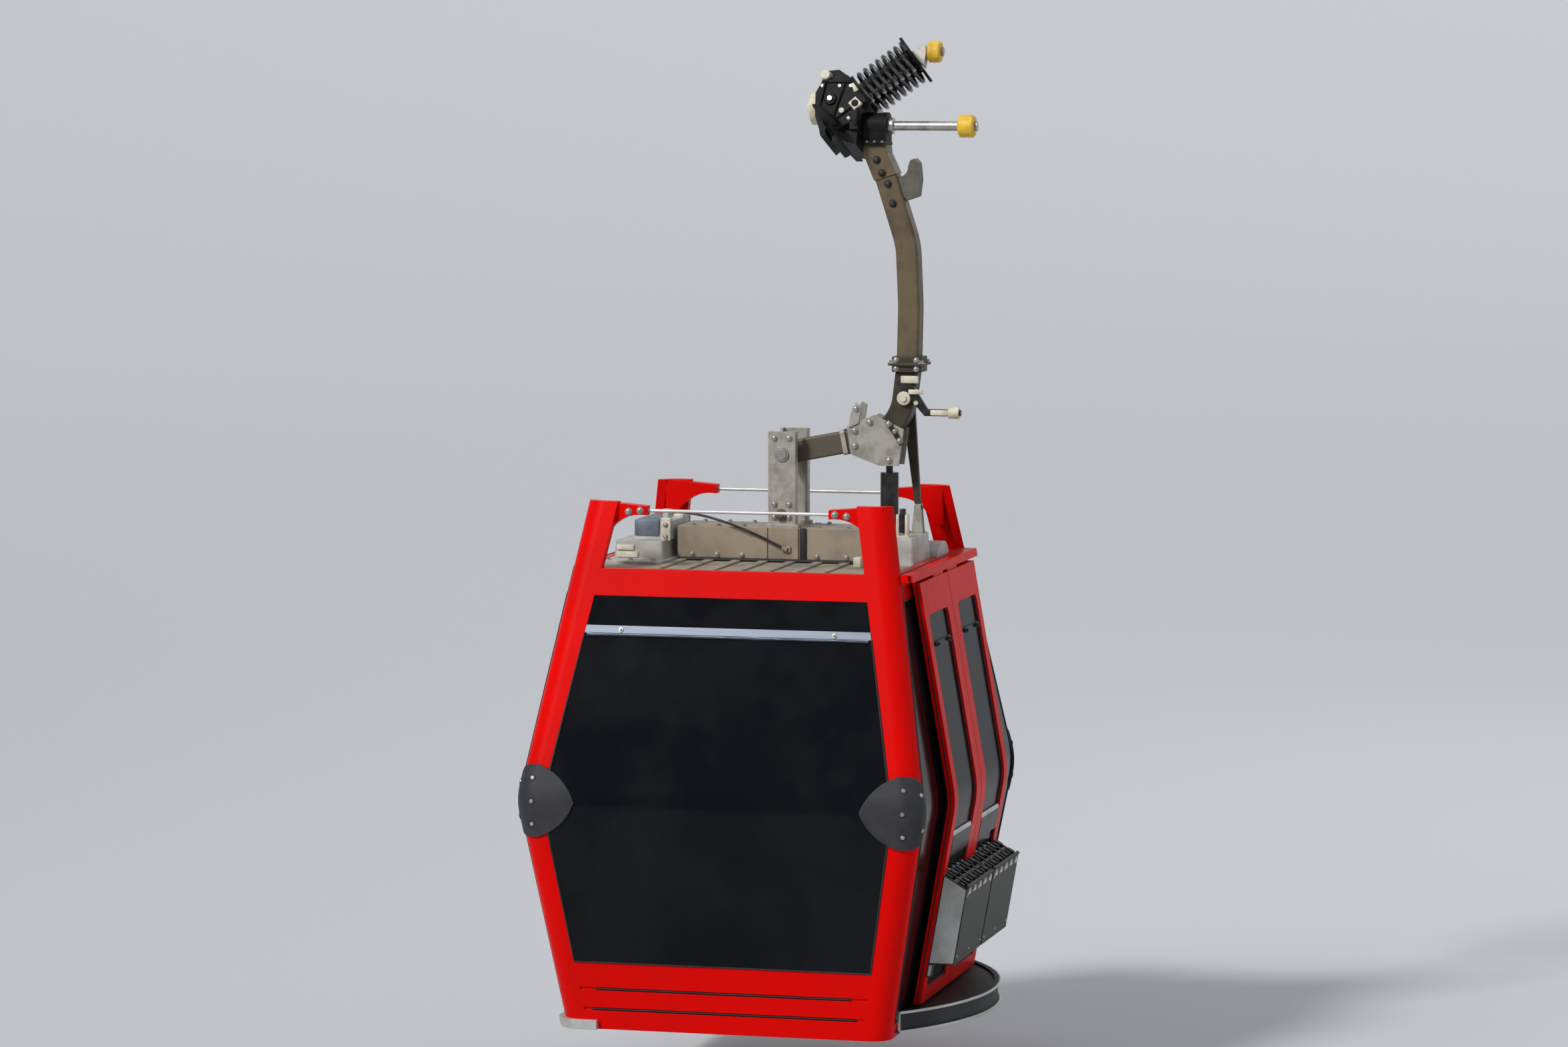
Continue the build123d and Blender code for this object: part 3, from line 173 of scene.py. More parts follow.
# Roof cable: a black rubber-sheathed lead, the thickness of a finger, from the gland on the blind housing
# down in a slack bow to the gland on the roof beam. Both ends go into the object.
def finish(
    name,
    colour,
    patches,
    roughness,
    metallic=0.0,
    patch_size=0.3,
    grain=0.004,
    relief=0.1,
    edge=0.003,
    worn=None,
    coat=0.0,
    alpha=1.0,
    specular=0.4,
    runs=(1, 1, 1),
    towards_blind=None,
):
    """Procedural finish: colour with patches of a second one, grain, eased edges and wear along them.

    towards_blind holds a third colour and the two places along X between which it gives way to the others.
    """
    material = bpy.data.materials.new(name)
    material.use_nodes = True
    tree = material.node_tree
    shader = tree.nodes["Principled BSDF"]
    shader.inputs["Metallic"].default_value = metallic
    shader.inputs["Coat Weight"].default_value = coat
    shader.inputs["Coat Roughness"].default_value = 0.08
    shader.inputs["Alpha"].default_value = alpha
    shader.inputs["Specular IOR Level"].default_value = specular

    def node(kind, **inputs):
        made = tree.nodes.new(kind)
        for socket, value in inputs.items():
            made.inputs[socket].default_value = value
        return made

    def blend_colours(factor, first, second):
        mixer = tree.nodes.new("ShaderNodeMix")
        mixer.data_type = "RGBA"
        tree.links.new(factor, mixer.inputs[0])
        for value, socket in ((first, mixer.inputs[6]), (second, mixer.inputs[7])):
            if isinstance(value, tuple):
                socket.default_value = (*value, 1)
            else:
                tree.links.new(value, socket)
        return mixer.outputs[2]

    place = tree.nodes.new("ShaderNodeTexCoord").outputs["Object"]
    stretch = node("ShaderNodeMapping", Scale=runs)
    tree.links.new(place, stretch.inputs["Vector"])
    broad = node("ShaderNodeTexNoise", Scale=1 / patch_size, Detail=7, Roughness=0.62)
    fine = node("ShaderNodeTexNoise", Scale=1 / grain, Detail=3)
    tree.links.new(stretch.outputs["Vector"], broad.inputs["Vector"])
    tree.links.new(place, fine.inputs["Vector"])
    spread = node("ShaderNodeMapRange")
    spread.inputs["From Min"].default_value = 0.42
    spread.inputs["From Max"].default_value = 0.68
    tree.links.new(broad.outputs["Fac"], spread.inputs["Value"])
    surface_colour = blend_colours(spread.outputs["Result"], colour, patches)
    if towards_blind:
        other_colour, from_x, to_x = towards_blind
        axes = tree.nodes.new("ShaderNodeSeparateXYZ")
        tree.links.new(place, axes.inputs["Vector"])
        share = node("ShaderNodeMapRange")
        share.inputs["From Min"].default_value = from_x
        share.inputs["From Max"].default_value = to_x
        tree.links.new(axes.outputs["X"], share.inputs["Value"])
        surface_colour = blend_colours(share.outputs["Result"], other_colour, surface_colour)

    eased = node("ShaderNodeBevel", Radius=edge)
    eased.samples = 4
    if worn:
        geometry = tree.nodes.new("ShaderNodeNewGeometry")
        turn = tree.nodes.new("ShaderNodeVectorMath")
        turn.operation = "DOT_PRODUCT"
        tree.links.new(eased.outputs["Normal"], turn.inputs[0])
        tree.links.new(geometry.outputs["Normal"], turn.inputs[1])
        rim = node("ShaderNodeMapRange")
        rim.inputs["From Min"].default_value = 0.985
        rim.inputs["From Max"].default_value = 0.90
        tree.links.new(turn.outputs["Value"], rim.inputs["Value"])
        broken = tree.nodes.new("ShaderNodeMath")
        broken.operation = "MULTIPLY"
        tree.links.new(rim.outputs["Result"], broken.inputs[0])
        tree.links.new(spread.outputs["Result"], broken.inputs[1])
        surface_colour = blend_colours(broken.outputs["Value"], surface_colour, worn)
    tree.links.new(surface_colour, shader.inputs["Base Color"])

    sheen = node("ShaderNodeMapRange")
    sheen.inputs["To Min"].default_value = max(0.02, roughness - 0.08)
    sheen.inputs["To Max"].default_value = min(1.0, roughness + 0.14)
    tree.links.new(broad.outputs["Fac"], sheen.inputs["Value"])
    tree.links.new(sheen.outputs["Result"], shader.inputs["Roughness"])
    bump = node("ShaderNodeBump", Strength=relief, Distance=grain / 4)
    tree.links.new(fine.outputs["Fac"], bump.inputs["Height"])
    tree.links.new(eased.outputs["Normal"], bump.inputs["Normal"])
    tree.links.new(bump.outputs["Normal"], shader.inputs["Normal"])
    return material


cable_black = finish(
    "cable_black",
    (0.010, 0.010, 0.011),
    (0.030, 0.029, 0.027),
    roughness=0.42,
    patch_size=0.05,
    grain=0.0015,
    relief=0.25,
    edge=0.001,
)
cable_points = (
    (-0.764, -0.118, -1.730),
    (-0.700, -0.124, -1.731),
    (-0.630, -0.138, -1.738),
    (-0.558, -0.152, -1.752),
    (-0.484, -0.160, -1.772),
    (-0.410, -0.164, -1.797),
    (-0.340, -0.163, -1.826),
    (-0.276, -0.159, -1.856),
    (-0.224, -0.155, -1.882),
)
cable_diameter = 0.012
cable_curve = bpy.data.curves.new("roof_cable_lead", "CURVE")
cable_curve.dimensions = "3D"
cable_curve.bevel_depth = cable_diameter / 2
cable_curve.bevel_resolution = 4
cable_curve.use_fill_caps = True
cable_run = cable_curve.splines.new("NURBS")
cable_run.points.add(len(cable_points) - 1)
for point, place in zip(cable_run.points, cable_points):
    point.co = (*place, 1)
cable_run.order_u = 3
cable_run.use_endpoint_u = True
cable_run.resolution_u = 8
cable_curve.materials.append(cable_black)
roof_cable = bpy.data.objects.new("roof_cable_lead", cable_curve)
bpy.context.scene.collection.objects.link(roof_cable)
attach(roof_cable, "carriage")
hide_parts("roof_cable")

# Corner posts with their horns, sills, headers and the rail cover: bent aluminium sheet with a glossy
# red powder coat. Light dust lies on it, and the coat is thin and dull along the pressed edges.
def dress(material, *names):
    """Gives CAD nodes their finish."""
    for name in names:
        for slot in nodes[name].material_slots:
            slot.material = material


def build(name, mesh, material, body, smooth=radians(35)):
    """Turns a finished bmesh into a piece that rides on a body."""
    bmesh.ops.recalc_face_normals(mesh, faces=mesh.faces)
    data = bpy.data.meshes.new(name)
    mesh.to_mesh(data)
    mesh.free()
    data.polygons.foreach_set("use_smooth", [True] * len(data.polygons))
    data.set_sharp_from_angle(angle=smooth)
    data.materials.append(material)
    piece = bpy.data.objects.new(name, data)
    bpy.context.scene.collection.objects.link(piece)
    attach(piece, body)
    return piece


def aimed(place, axis):
    """Matrix that moves a shape to a place and turns its Z along an axis."""
    return Matrix.Translation(place) @ Vector(axis).to_track_quat("Z", "Y").to_matrix().to_4x4()


def disc(mesh, place, axis, radius, height, segments=24, top=None):
    """Round or many-sided plug that stands on a place along an axis."""
    axis = Vector(axis).normalized()
    bmesh.ops.create_cone(
        mesh,
        cap_ends=True,
        segments=segments,
        radius1=radius,
        radius2=radius if top is None else top,
        depth=height,
        matrix=aimed(Vector(place) + axis * height / 2, axis),
    )


def bolt(mesh, place, axis, radius, washer=1.55):
    """Hexagon head with a chamfered top on its washer."""
    axis = Vector(axis).normalized()
    seat = radius * 0.28
    head = radius * 0.8
    disc(mesh, Vector(place) - axis * 0.001, axis, radius * washer, seat + 0.001, 20)
    disc(mesh, Vector(place) + axis * seat, axis, radius, head, 6)
    disc(mesh, Vector(place) + axis * (seat + head), axis, radius * 0.96, radius * 0.12, 12, radius * 0.7)


def on_surface(name, start, direction):
    """Where a line meets a CAD node, and the surface's normal there."""
    hit, place, normal, _ = nodes[name].ray_cast(Vector(start), Vector(direction).normalized())
    if not hit:
        raise ValueError(f"no surface of {name} on the line from {tuple(start)}")
    return place, normal


def outlines(name, facing, sharp=radians(40), looks=0.6, turned=0.5, fewest=9):
    """Closed outlines of a CAD node's face that looks along facing, as lists of points."""
    copy = bmesh.new()
    copy.from_mesh(nodes[name].data)
    bmesh.ops.remove_doubles(copy, verts=copy.verts, dist=0.00002)
    facing = Vector(facing)
    # a dictionary keeps its order, so the lines start at the same places in each run
    rims = {
        edge: True
        for edge in copy.edges
        if len(edge.link_faces) == 2
        and edge.calc_face_angle(0) > sharp
        and max(face.normal.dot(facing) for face in edge.link_faces) > looks
        and min(face.normal.dot(facing) for face in edge.link_faces) < turned
    }
    found = []
    while rims:
        edge, _ = rims.popitem()
        line = [edge.verts[0], edge.verts[1]]
        going = True
        while going:
            onward = [e for e in line[-1].link_edges if e in rims]
            going = bool(onward)
            if going:
                rims.pop(onward[0])
                line.append(onward[0].other_vert(line[-1]))
        if len(line) >= fewest:
            found.append([vert.co.copy() for vert in line[:-1]])
    copy.free()
    return found


def bead(name, lines, radius, material, body, closed=True):
    """Round bead that follows lines of points, as rubber welts, sealant and wire do."""
    curve = bpy.data.curves.new(name, "CURVE")
    curve.dimensions = "3D"
    curve.bevel_depth = radius
    curve.bevel_resolution = 1
    curve.use_fill_caps = not closed
    for points in lines:
        spline = curve.splines.new("POLY")
        spline.points.add(len(points) - 1)
        for point, place in zip(spline.points, points):
            point.co = (*place, 1)
        spline.use_cyclic_u = closed
    holder = bpy.data.objects.new(name + "_line", curve)
    bpy.context.scene.collection.objects.link(holder)
    bpy.context.view_layer.update()
    data = bpy.data.meshes.new_from_object(holder)
    bpy.data.objects.remove(holder)
    mesh = bmesh.new()
    mesh.from_mesh(data)
    bpy.data.meshes.remove(data)
    return build(name, mesh, material, body, radians(60))


near = Vector((0, -1, 0))
far = Vector((0, 1, 0))
blind = Vector((-1, 0, 0))
door = Vector((1, 0, 0))
up = Vector((0, 0, 1))
ends = (("near", -1), ("far", 1))
sides = (("blind", -1), ("door", 1))
outside = 1.5
cabin_x = -0.31
base_z = cad_box[0].z
waist_z = base_z + 1.06


def across(name, end, half_length, z, steps, rise=0.0):
    """Points across an end of the cabin at a height, laid on a CAD node or a little off it."""
    line = []
    for step in range(steps + 1):
        start = Vector((cabin_x - half_length + 2 * half_length * step / steps, end * outside, z))
        place, _ = on_surface(name, start, (0, -end, 0))
        line.append(place + Vector((0, end * rise, 0)))
    return line


red_paint = finish(
    "red_paint",
    (0.74, 0.0025, 0.0015),
    (0.62, 0.004, 0.003),
    roughness=0.30,
    patch_size=0.6,
    grain=0.0015,
    relief=0.05,
    edge=0.004,
    worn=(0.80, 0.03, 0.02),
    specular=0.04,
)
posts = [f"post_{end}_{side}" for end in ("near", "far") for side in ("blind", "door")]
dress(red_paint, *posts, "sill_near", "sill_far", "sill_blind", "sill_door", "door_rail")
dress(red_paint, "header_near", "header_far", "header_blind", "header_door")

black_rubber = finish(
    "black_rubber", (0.012, 0.012, 0.013), (0.03, 0.03, 0.03), roughness=0.55, grain=0.002, relief=0.2
)
seam_lines = []
for name, facing in (
    ("sill_near", near),
    ("sill_far", far),
    ("header_near", near),
    ("header_far", far),
    ("header_blind", blind),
    ("header_door", door),
    ("sill_blind", blind),
):
    seam_lines += outlines(name, facing)
bead("panel_seams", seam_lines, 0.0028, black_rubber, "carriage")
groove_lines = []
for end_name, end in ends:
    # height above the base, half length
    for groove_height, half_length in ((0.190, 0.60), (0.095, 0.62)):
        groove_lines.append(across(f"sill_{end_name}", end, half_length, base_z + groove_height, 24))
bead("sill_groove_strips", groove_lines, 0.0065, black_rubber, "carriage", closed=False)

bright_steel = finish(
    "bright_steel",
    (0.50, 0.49, 0.46),
    (0.30, 0.29, 0.26),
    roughness=0.32,
    metallic=0.85,
    patch_size=0.05,
    grain=0.001,
    relief=0.12,
    edge=0.0015,
    worn=(0.8, 0.8, 0.78),
)
horn_bolts = bmesh.new()
for side_name, side in sides:
    for end_name, end in ends:
        post = f"post_{end_name}_{side_name}"
        low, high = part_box(post)
        tip_x = high.x if side < 0 else low.x
        # place in from the horn's tip, drop below its top
        for inward, drop in ((0.030, 0.040), (0.085, 0.046)):
            start = Vector((tip_x + side * inward, end * outside, high.z - drop))
            place, normal = on_surface(post, start, (0, -end, 0))
            bolt(horn_bolts, place, normal, 0.011)
build("horn_bolts", horn_bolts, bright_steel, "carriage")

# End windows: one bent pane each of dark tinted glass in a black rubber welt, with a hinged vent above
# a light extruded rail that carries its two latches.
tinted_glass = finish(
    "tinted_glass",
    (0.004, 0.005, 0.007),
    (0.010, 0.011, 0.013),
    roughness=0.10,
    patch_size=0.5,
    grain=0.02,
    relief=0.0,
    edge=0.001,
    alpha=0.93,
    specular=0.12,
)
anodised = finish(
    "anodised",
    (0.22, 0.25, 0.31),
    (0.17, 0.19, 0.23),
    roughness=0.36,
    metallic=0.5,
    patch_size=0.2,
    grain=0.001,
    relief=0.1,
    edge=0.002,
    worn=(0.6, 0.62, 0.66),
    runs=(0.2, 1, 3),
)
slate_anodised = finish(
    "slate_anodised",
    (0.10, 0.12, 0.15),
    (0.07, 0.08, 0.10),
    roughness=0.36,
    metallic=0.6,
    patch_size=0.2,
    grain=0.001,
    relief=0.1,
    edge=0.002,
)
dress(tinted_glass, "window_near", "window_far", "window_blind", "quarter_windows")
dress(anodised, "vent_rails")
window_lines = outlines("window_near", near) + outlines("window_far", far)
bead("end_window_welts", window_lines, 0.0055, black_rubber, "carriage")
lip_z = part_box("vent_rails")[0].z - 0.004
lip_lines = [across(f"window_{end_name}", end, 0.66, lip_z, 20, 0.003) for end_name, end in ends]
bead("vent_rail_lips", lip_lines, 0.008, slate_anodised, "carriage", closed=False)
latch_z = base_z + 1.83
vent_latches = bmesh.new()
for _, end in ends:
    for latch_x in (cabin_x - 0.50, cabin_x + 0.50):
        start = Vector((latch_x, end * outside, latch_z))
        place, normal = on_surface("vent_rails", start, (0, -end, 0))
        disc(vent_latches, place - normal * 0.002, normal, 0.013, 0.007, 24, 0.011)
        bolt(vent_latches, place + normal * 0.005, normal, 0.0055, 1.2)
build("vent_latches", vent_latches, bright_steel, "carriage")

# Blind side: one large bent pane down to the bottom bar, with a light extruded rail that wraps the foot
# of the cabin and holds it against the station's guide.
bead("blind_window_welt", outlines("window_blind", blind), 0.0055, black_rubber, "carriage")
pale_rail = finish(
    "pale_rail",
    (0.62, 0.62, 0.60),
    (0.46, 0.45, 0.42),
    roughness=0.42,
    metallic=0.5,
    patch_size=0.12,
    grain=0.0012,
    relief=0.15,
    edge=0.003,
    worn=(0.8, 0.8, 0.8),
    runs=(1, 0.3, 1),
)
dress(pale_rail, "blind_rail")
rail_low, rail_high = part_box("blind_rail")
rail_z = (rail_low.z + rail_high.z) / 2
rail_screws = bmesh.new()
for screw_y in (-0.70, -0.35, 0.0, 0.35, 0.70):
    place, normal = on_surface("blind_rail", (-outside, screw_y, rail_z), door)
    disc(rail_screws, place - normal * 0.001, normal, 0.010, 0.004, 20, 0.007)
build("rail_screws", rail_screws, bright_steel, "carriage")

# Doors: two bent red leaves with dark panes, a vent pane above and a closed panel below. Rubber seals run
# down both upright edges, and a pale ledge with a dark strip under it closes the foot of each window.
dress(red_paint, "door_near", "door_far")
door_glass = finish(
    "door_glass",
    (0.004, 0.005, 0.007),
    (0.010, 0.011, 0.013),
    roughness=0.12,
    patch_size=0.5,
    grain=0.02,
    relief=0.0,
    edge=0.001,
    alpha=0.95,
    specular=0.04,
)
dress(door_glass, "door_panes_near", "door_panes_far")
bead("quarter_welts", outlines("quarter_windows", door), 0.005, black_rubber, "carriage")


def slab(mesh, frame, size, ease, segments=2):
    """Block of a size, centred in a frame, its edges eased."""
    made = bmesh.ops.create_cube(mesh, size=1, matrix=frame @ Matrix.Diagonal((*size, 1)))["verts"]
    edges = list(dict.fromkeys(edge for vert in made for edge in vert.link_edges))
    bmesh.ops.bevel(
        mesh, geom=edges, offset=ease, segments=segments, profile=0.5, affect="EDGES", material=-1
    )


def pull(mesh, faces, run):
    """Extrudes faces along a run."""
    grown = bmesh.ops.extrude_face_region(mesh, geom=faces)["geom"]
    raised = [part for part in grown if isinstance(part, bmesh.types.BMVert)]
    bmesh.ops.translate(mesh, verts=raised, vec=run)


def edge_seal(mesh, name, facing, inset, thickness, depth=0.001):
    """Strip that stands on a CAD node's outermost flat face along facing."""
    copy = bmesh.new()
    copy.from_mesh(nodes[name].data)
    bmesh.ops.remove_doubles(copy, verts=copy.verts, dist=0.00002)
    reach = max(vert.co.dot(facing) for vert in copy.verts)
    others = [
        face
        for face in copy.faces
        if face.normal.dot(facing) < 0.99 or face.calc_center_median().dot(facing) < reach - depth
    ]
    bmesh.ops.delete(copy, geom=others, context="FACES")
    bmesh.ops.dissolve_limit(copy, angle_limit=radians(1), verts=copy.verts, edges=copy.edges)
    rim = bmesh.ops.inset_region(
        copy, faces=copy.faces, thickness=inset, use_boundary=True, use_even_offset=True
    )["faces"]
    bmesh.ops.delete(copy, geom=rim, context="FACES")
    pull(copy, list(copy.faces), facing * thickness)
    strip = bpy.data.meshes.new("strip")
    copy.to_mesh(strip)
    copy.free()
    mesh.from_mesh(strip)
    bpy.data.meshes.remove(strip)


door_latch_z = base_z + 1.76
ledge_z = base_z + 0.90
strip_rays_z = (base_z + 0.812, base_z + 0.878)
for end_name, end in ends:
    body = f"door_leaf_{end_name}"
    leaf = f"door_{end_name}"
    panes = f"door_panes_{end_name}"
    bead(f"door_welts_{end_name}", outlines(panes, door), 0.005, black_rubber, body)
    seals = bmesh.new()
    edge_seal(seals, leaf, Vector((0, -end, 0)), 0.009, 0.0026)
    edge_seal(seals, leaf, Vector((0, end, 0)), 0.0145, 0.004)
    build(f"door_seals_{end_name}", seals, black_rubber, body)

    panes_low, panes_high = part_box(panes)
    middle_y = (panes_low.y + panes_high.y) / 2
    latches = bmesh.new()
    for latch_y in (middle_y - 0.12, middle_y + 0.12):
        place, normal = on_surface(panes, (outside, latch_y, door_latch_z), blind)
        disc(latches, place - normal * 0.001, normal, 0.013, 0.008, 24, 0.010)
        disc(latches, place + normal * 0.007, normal, 0.007, 0.009, 16)
    build(f"door_vent_latches_{end_name}", latches, black_rubber, body)

    ledge = bmesh.new()
    ledge_length = panes_high.y - panes_low.y - 0.02
    place, normal = on_surface(panes, (outside, middle_y, ledge_z), blind)
    ledge_frame = Matrix.Translation(place + normal * 0.006) @ Matrix.Rotation(radians(-10), 4, "Y")
    slab(ledge, ledge_frame, (0.012, ledge_length, 0.022), 0.004)
    build(f"door_ledge_{end_name}", ledge, pale_rail, body)

    # Both rays meet the leaf between its two openings, and the strip runs on a little past them.
    band = bmesh.new()
    columns = []
    for band_y in (panes_low.y + 0.006, middle_y, panes_high.y - 0.006):
        foot, normal = on_surface(leaf, (outside, band_y, strip_rays_z[0]), blind)
        head, _ = on_surface(leaf, (outside, band_y, strip_rays_z[1]), blind)
        columns.append([
            band.verts.new(foot.lerp(head, share) + normal * 0.0015) for share in (-0.26, 0.5, 1.20)
        ])
    for left, right in zip(columns, columns[1:]):
        for level in range(2):
            band.faces.new((left[level], right[level], right[level + 1], left[level + 1]))
    bmesh.ops.recalc_face_normals(band, faces=band.faces)
    bmesh.ops.solidify(band, geom=list(band.faces), thickness=0.003)
    build(f"door_kick_strip_{end_name}", band, door_glass, body)

# Ski racks: sheet boxes riveted to the leaves' lower panels, with pale folded end plates. Two rows of
# rubber combs between three bars hold the skis in the lid, and five pale wedges stand under its outer edge.
rack_sheet = finish(
    "rack_sheet",
    (0.030, 0.033, 0.022),
    (0.055, 0.056, 0.040),
    roughness=0.48,
    metallic=0.3,
    patch_size=0.25,
    grain=0.002,
    relief=0.15,
    edge=0.003,
    worn=(0.42, 0.42, 0.38),
    runs=(1, 1, 0.3),
)
pale_plastic = finish(
    "pale_plastic", (0.78, 0.77, 0.72), (0.60, 0.58, 0.52), roughness=0.5, patch_size=0.06, grain=0.002
)
dress(rack_sheet, "ski_rack_near", "ski_rack_far")
lid_slope = Matrix.Rotation(radians(31), 4, "Y")
lid_edge_z = base_z + 0.650
wedge_z = base_z + 0.640
rivet_heights = (base_z + 0.345, base_z + 0.625)


def middles(low, high, count):
    """Middles of equal shares of a length."""
    return [low + (share + 0.5) * (high - low) / count for share in range(count)]


for end_name, end in ends:
    rack = f"ski_rack_{end_name}"
    body = f"door_leaf_{end_name}"
    rack_low, rack_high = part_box(rack)
    middle_y = (rack_low.y + rack_high.y) / 2
    combs = bmesh.new()
    teeth = bmesh.new()
    for tooth, tooth_y in enumerate(middles(rack_low.y, rack_high.y, 13)):
        edge, _ = on_surface(rack, (outside, tooth_y, lid_edge_z), blind)
        crown = edge + Vector((-0.004, 0, 0.014))
        for inward, rise in ((-0.030, 0.012), (-0.088, 0.046)):
            place = crown + Vector((inward, 0, rise + 0.003 * (tooth % 3)))
            slab(combs, Matrix.Translation(place) @ lid_slope, (0.034, 0.021, 0.020), 0.0015, 1)
    for wedge_y in middles(rack_low.y, rack_high.y, 5):
        place, normal = on_surface(rack, (outside, wedge_y, wedge_z), blind)
        wedge = bmesh.ops.create_cone(
            teeth,
            cap_ends=True,
            segments=3,
            radius1=0.038,
            radius2=0.030,
            depth=0.010,
            matrix=aimed(place, normal),
        )["verts"]
        bmesh.ops.scale(teeth, verts=wedge, vec=(1, 1, 0.62), space=Matrix.Translation(-place))
    lid_length = rack_high.y - rack_low.y - 0.012
    # bar's place in from the crown, its place above it, its width
    for inward, rise, width in ((0.004, 0.005, 0.016), (-0.058, 0.022, 0.020), (-0.118, 0.054, 0.016)):
        place = Vector((crown.x + inward, middle_y, crown.z + rise))
        slab(combs, Matrix.Translation(place) @ lid_slope, (width, lid_length, 0.012), 0.0015, 1)
    for stud_y in middles(rack_low.y, rack_high.y, 6):
        disc(teeth, (crown.x - 0.112, stud_y, crown.z + 0.060), up, 0.007, 0.009, 12, 0.005)
    bmesh.ops.bevel(
        teeth, geom=list(teeth.edges), offset=0.0015, segments=1, profile=0.5, affect="EDGES", material=-1
    )
    build(f"rack_teeth_{end_name}", teeth, pale_plastic, body)
    build(f"rack_combs_{end_name}", combs, black_rubber, body)
    plates = bmesh.new()
    for facing in (near, far):
        edge_seal(plates, rack, facing, 0.006, 0.005, 0.0015)
    build(f"rack_end_plates_{end_name}", plates, pale_rail, body)
    rivets = bmesh.new()
    for rivet_y in (rack_low.y + 0.03, middle_y, rack_high.y - 0.03):
        for rivet_z in rivet_heights:
            place, normal = on_surface(rack, (outside, rivet_y, rivet_z), blind)
            disc(rivets, place - normal * 0.001, normal, 0.007, 0.004, 16, 0.004)
    build(f"rack_rivets_{end_name}", rivets, bright_steel, body)

# Waist guards: one moulded cap of charcoal plastic with a fine grain on each corner, where cabins touch in
# the station. Each is held by three screws on the end and two on the side, in countersunk cups.
guard_plastic = finish(
    "guard_plastic",
    (0.030, 0.030, 0.033),
    (0.045, 0.045, 0.048),
    roughness=0.5,
    patch_size=0.15,
    grain=0.0012,
    relief=0.35,
    edge=0.005,
    worn=(0.10, 0.10, 0.105),
    specular=0.25,
)
dress(guard_plastic, "corner_guards")
guard_screws = bmesh.new()
guard_cups = bmesh.new()
for _, side in sides:
    for _, end in ends:
        screw_x = cabin_x + side * 0.865
        screw_y = end * 0.955
        spots = [((screw_x, end * outside, waist_z + rise), (0, -end, 0)) for rise in (-0.105, 0.0, 0.105)]
        spots += [
            ((cabin_x + side * outside, screw_y, waist_z + rise), (-side, 0, 0)) for rise in (-0.08, 0.08)
        ]
        for start, direction in spots:
            place, normal = on_surface("corner_guards", start, direction)
            disc(guard_cups, place - normal * 0.002, normal, 0.017, 0.0035, 24, 0.015)
            disc(guard_screws, place + normal * 0.0012, normal, 0.0105, 0.0045, 20, 0.007)
build("guard_cups", guard_cups, black_rubber, "carriage")
build("guard_screws", guard_screws, bright_steel, "carriage")

# Door step: a black rubber-faced tread in a bow-shaped channel, with a pale rim above and below and a
# pale strip across each end.
dress(black_rubber, "door_step")
step_low, step_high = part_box("door_step")
rim_half = 0.735
rim_steps = 48
rim_lines = []
for level in (step_low.z + 0.0045, step_high.z - 0.0045):
    line = []
    for step in range(rim_steps + 1):
        start = (outside, rim_half * (2 * step / rim_steps - 1), level)
        line.append(on_surface("door_step", start, blind)[0])
    rim_lines.append(line)
bead("step_rims", rim_lines, 0.0068, pale_rail, "carriage", closed=False)
step_ends = bmesh.new()
for tip in (0, -1):
    foot = rim_lines[0][tip]
    head = rim_lines[1][tip]
    place = (foot + head) / 2 + Vector((-0.004, 0, 0))
    slab(step_ends, Matrix.Translation(place), (0.014, 0.007, head.z - foot.z + 0.006), 0.002, 1)
build("step_ends", step_ends, pale_rail, "carriage")

# Floor and benches: a grey galvanised sheet pan on cross members, and two benches of dark moulded plastic
# that face each other from the ends.
floor_sheet = finish(
    "floor_sheet", (0.20, 0.20, 0.20), (0.12, 0.12, 0.115), roughness=0.5, metallic=0.5, patch_size=0.3
)
seat_plastic = finish(
    "seat_plastic", (0.035, 0.036, 0.04), (0.05, 0.05, 0.055), roughness=0.55, patch_size=0.2, relief=0.3
)
dress(floor_sheet, "floor")
dress(seat_plastic, "bench_near", "bench_far")

# Roof: ribbed aluminium sheet, sun-bleached and dusty. The box beam that carries the column is bolted down
# across it, with a pale housing at each end and a slate cover on the blind one, and tie rods join the horns.
roof_sheet = finish(
    "roof_sheet",
    (0.40, 0.34, 0.26),
    (0.24, 0.21, 0.17),
    roughness=0.62,
    metallic=0.25,
    patch_size=0.22,
    grain=0.003,
    relief=0.3,
    edge=0.003,
    worn=(0.55, 0.50, 0.42),
)
beam_sheet = finish(
    "beam_sheet",
    (0.36, 0.30, 0.22),
    (0.25, 0.21, 0.155),
    roughness=0.52,
    metallic=0.35,
    patch_size=0.16,
    grain=0.002,
    relief=0.2,
    edge=0.003,
    worn=(0.56, 0.52, 0.45),
)
housing_shell = finish(
    "housing_shell",
    (0.50, 0.50, 0.47),
    (0.34, 0.33, 0.30),
    roughness=0.5,
    metallic=0.2,
    patch_size=0.14,
    grain=0.002,
    relief=0.2,
    edge=0.004,
    worn=(0.7, 0.7, 0.66),
)
dress(roof_sheet, "roof_panel")
dress(beam_sheet, "roof_beam")
dress(housing_shell, "beam_housings")
dress(pale_rail, "horn_ties")
slate_cover = finish(
    "slate_cover",
    (0.17, 0.20, 0.25),
    (0.10, 0.12, 0.15),
    roughness=0.45,
    metallic=0.2,
    patch_size=0.08,
    grain=0.002,
    relief=0.2,
    edge=0.004,
    worn=(0.40, 0.42, 0.45),
)
cream_plate = finish(
    "cream_plate",
    (0.66, 0.62, 0.50),
    (0.44, 0.40, 0.30),
    roughness=0.48,
    patch_size=0.05,
    grain=0.002,
    relief=0.2,
    edge=0.003,
    worn=(0.78, 0.76, 0.70),
)


def block(mesh, low, high, ease=0.004, base=0.0):
    """Rectangular block between two corners, whose heights count from a base, its edges eased."""
    low, high = Vector(low), Vector(high)
    slab(mesh, Matrix.Translation((low + high) / 2 + up * base), high - low, ease)


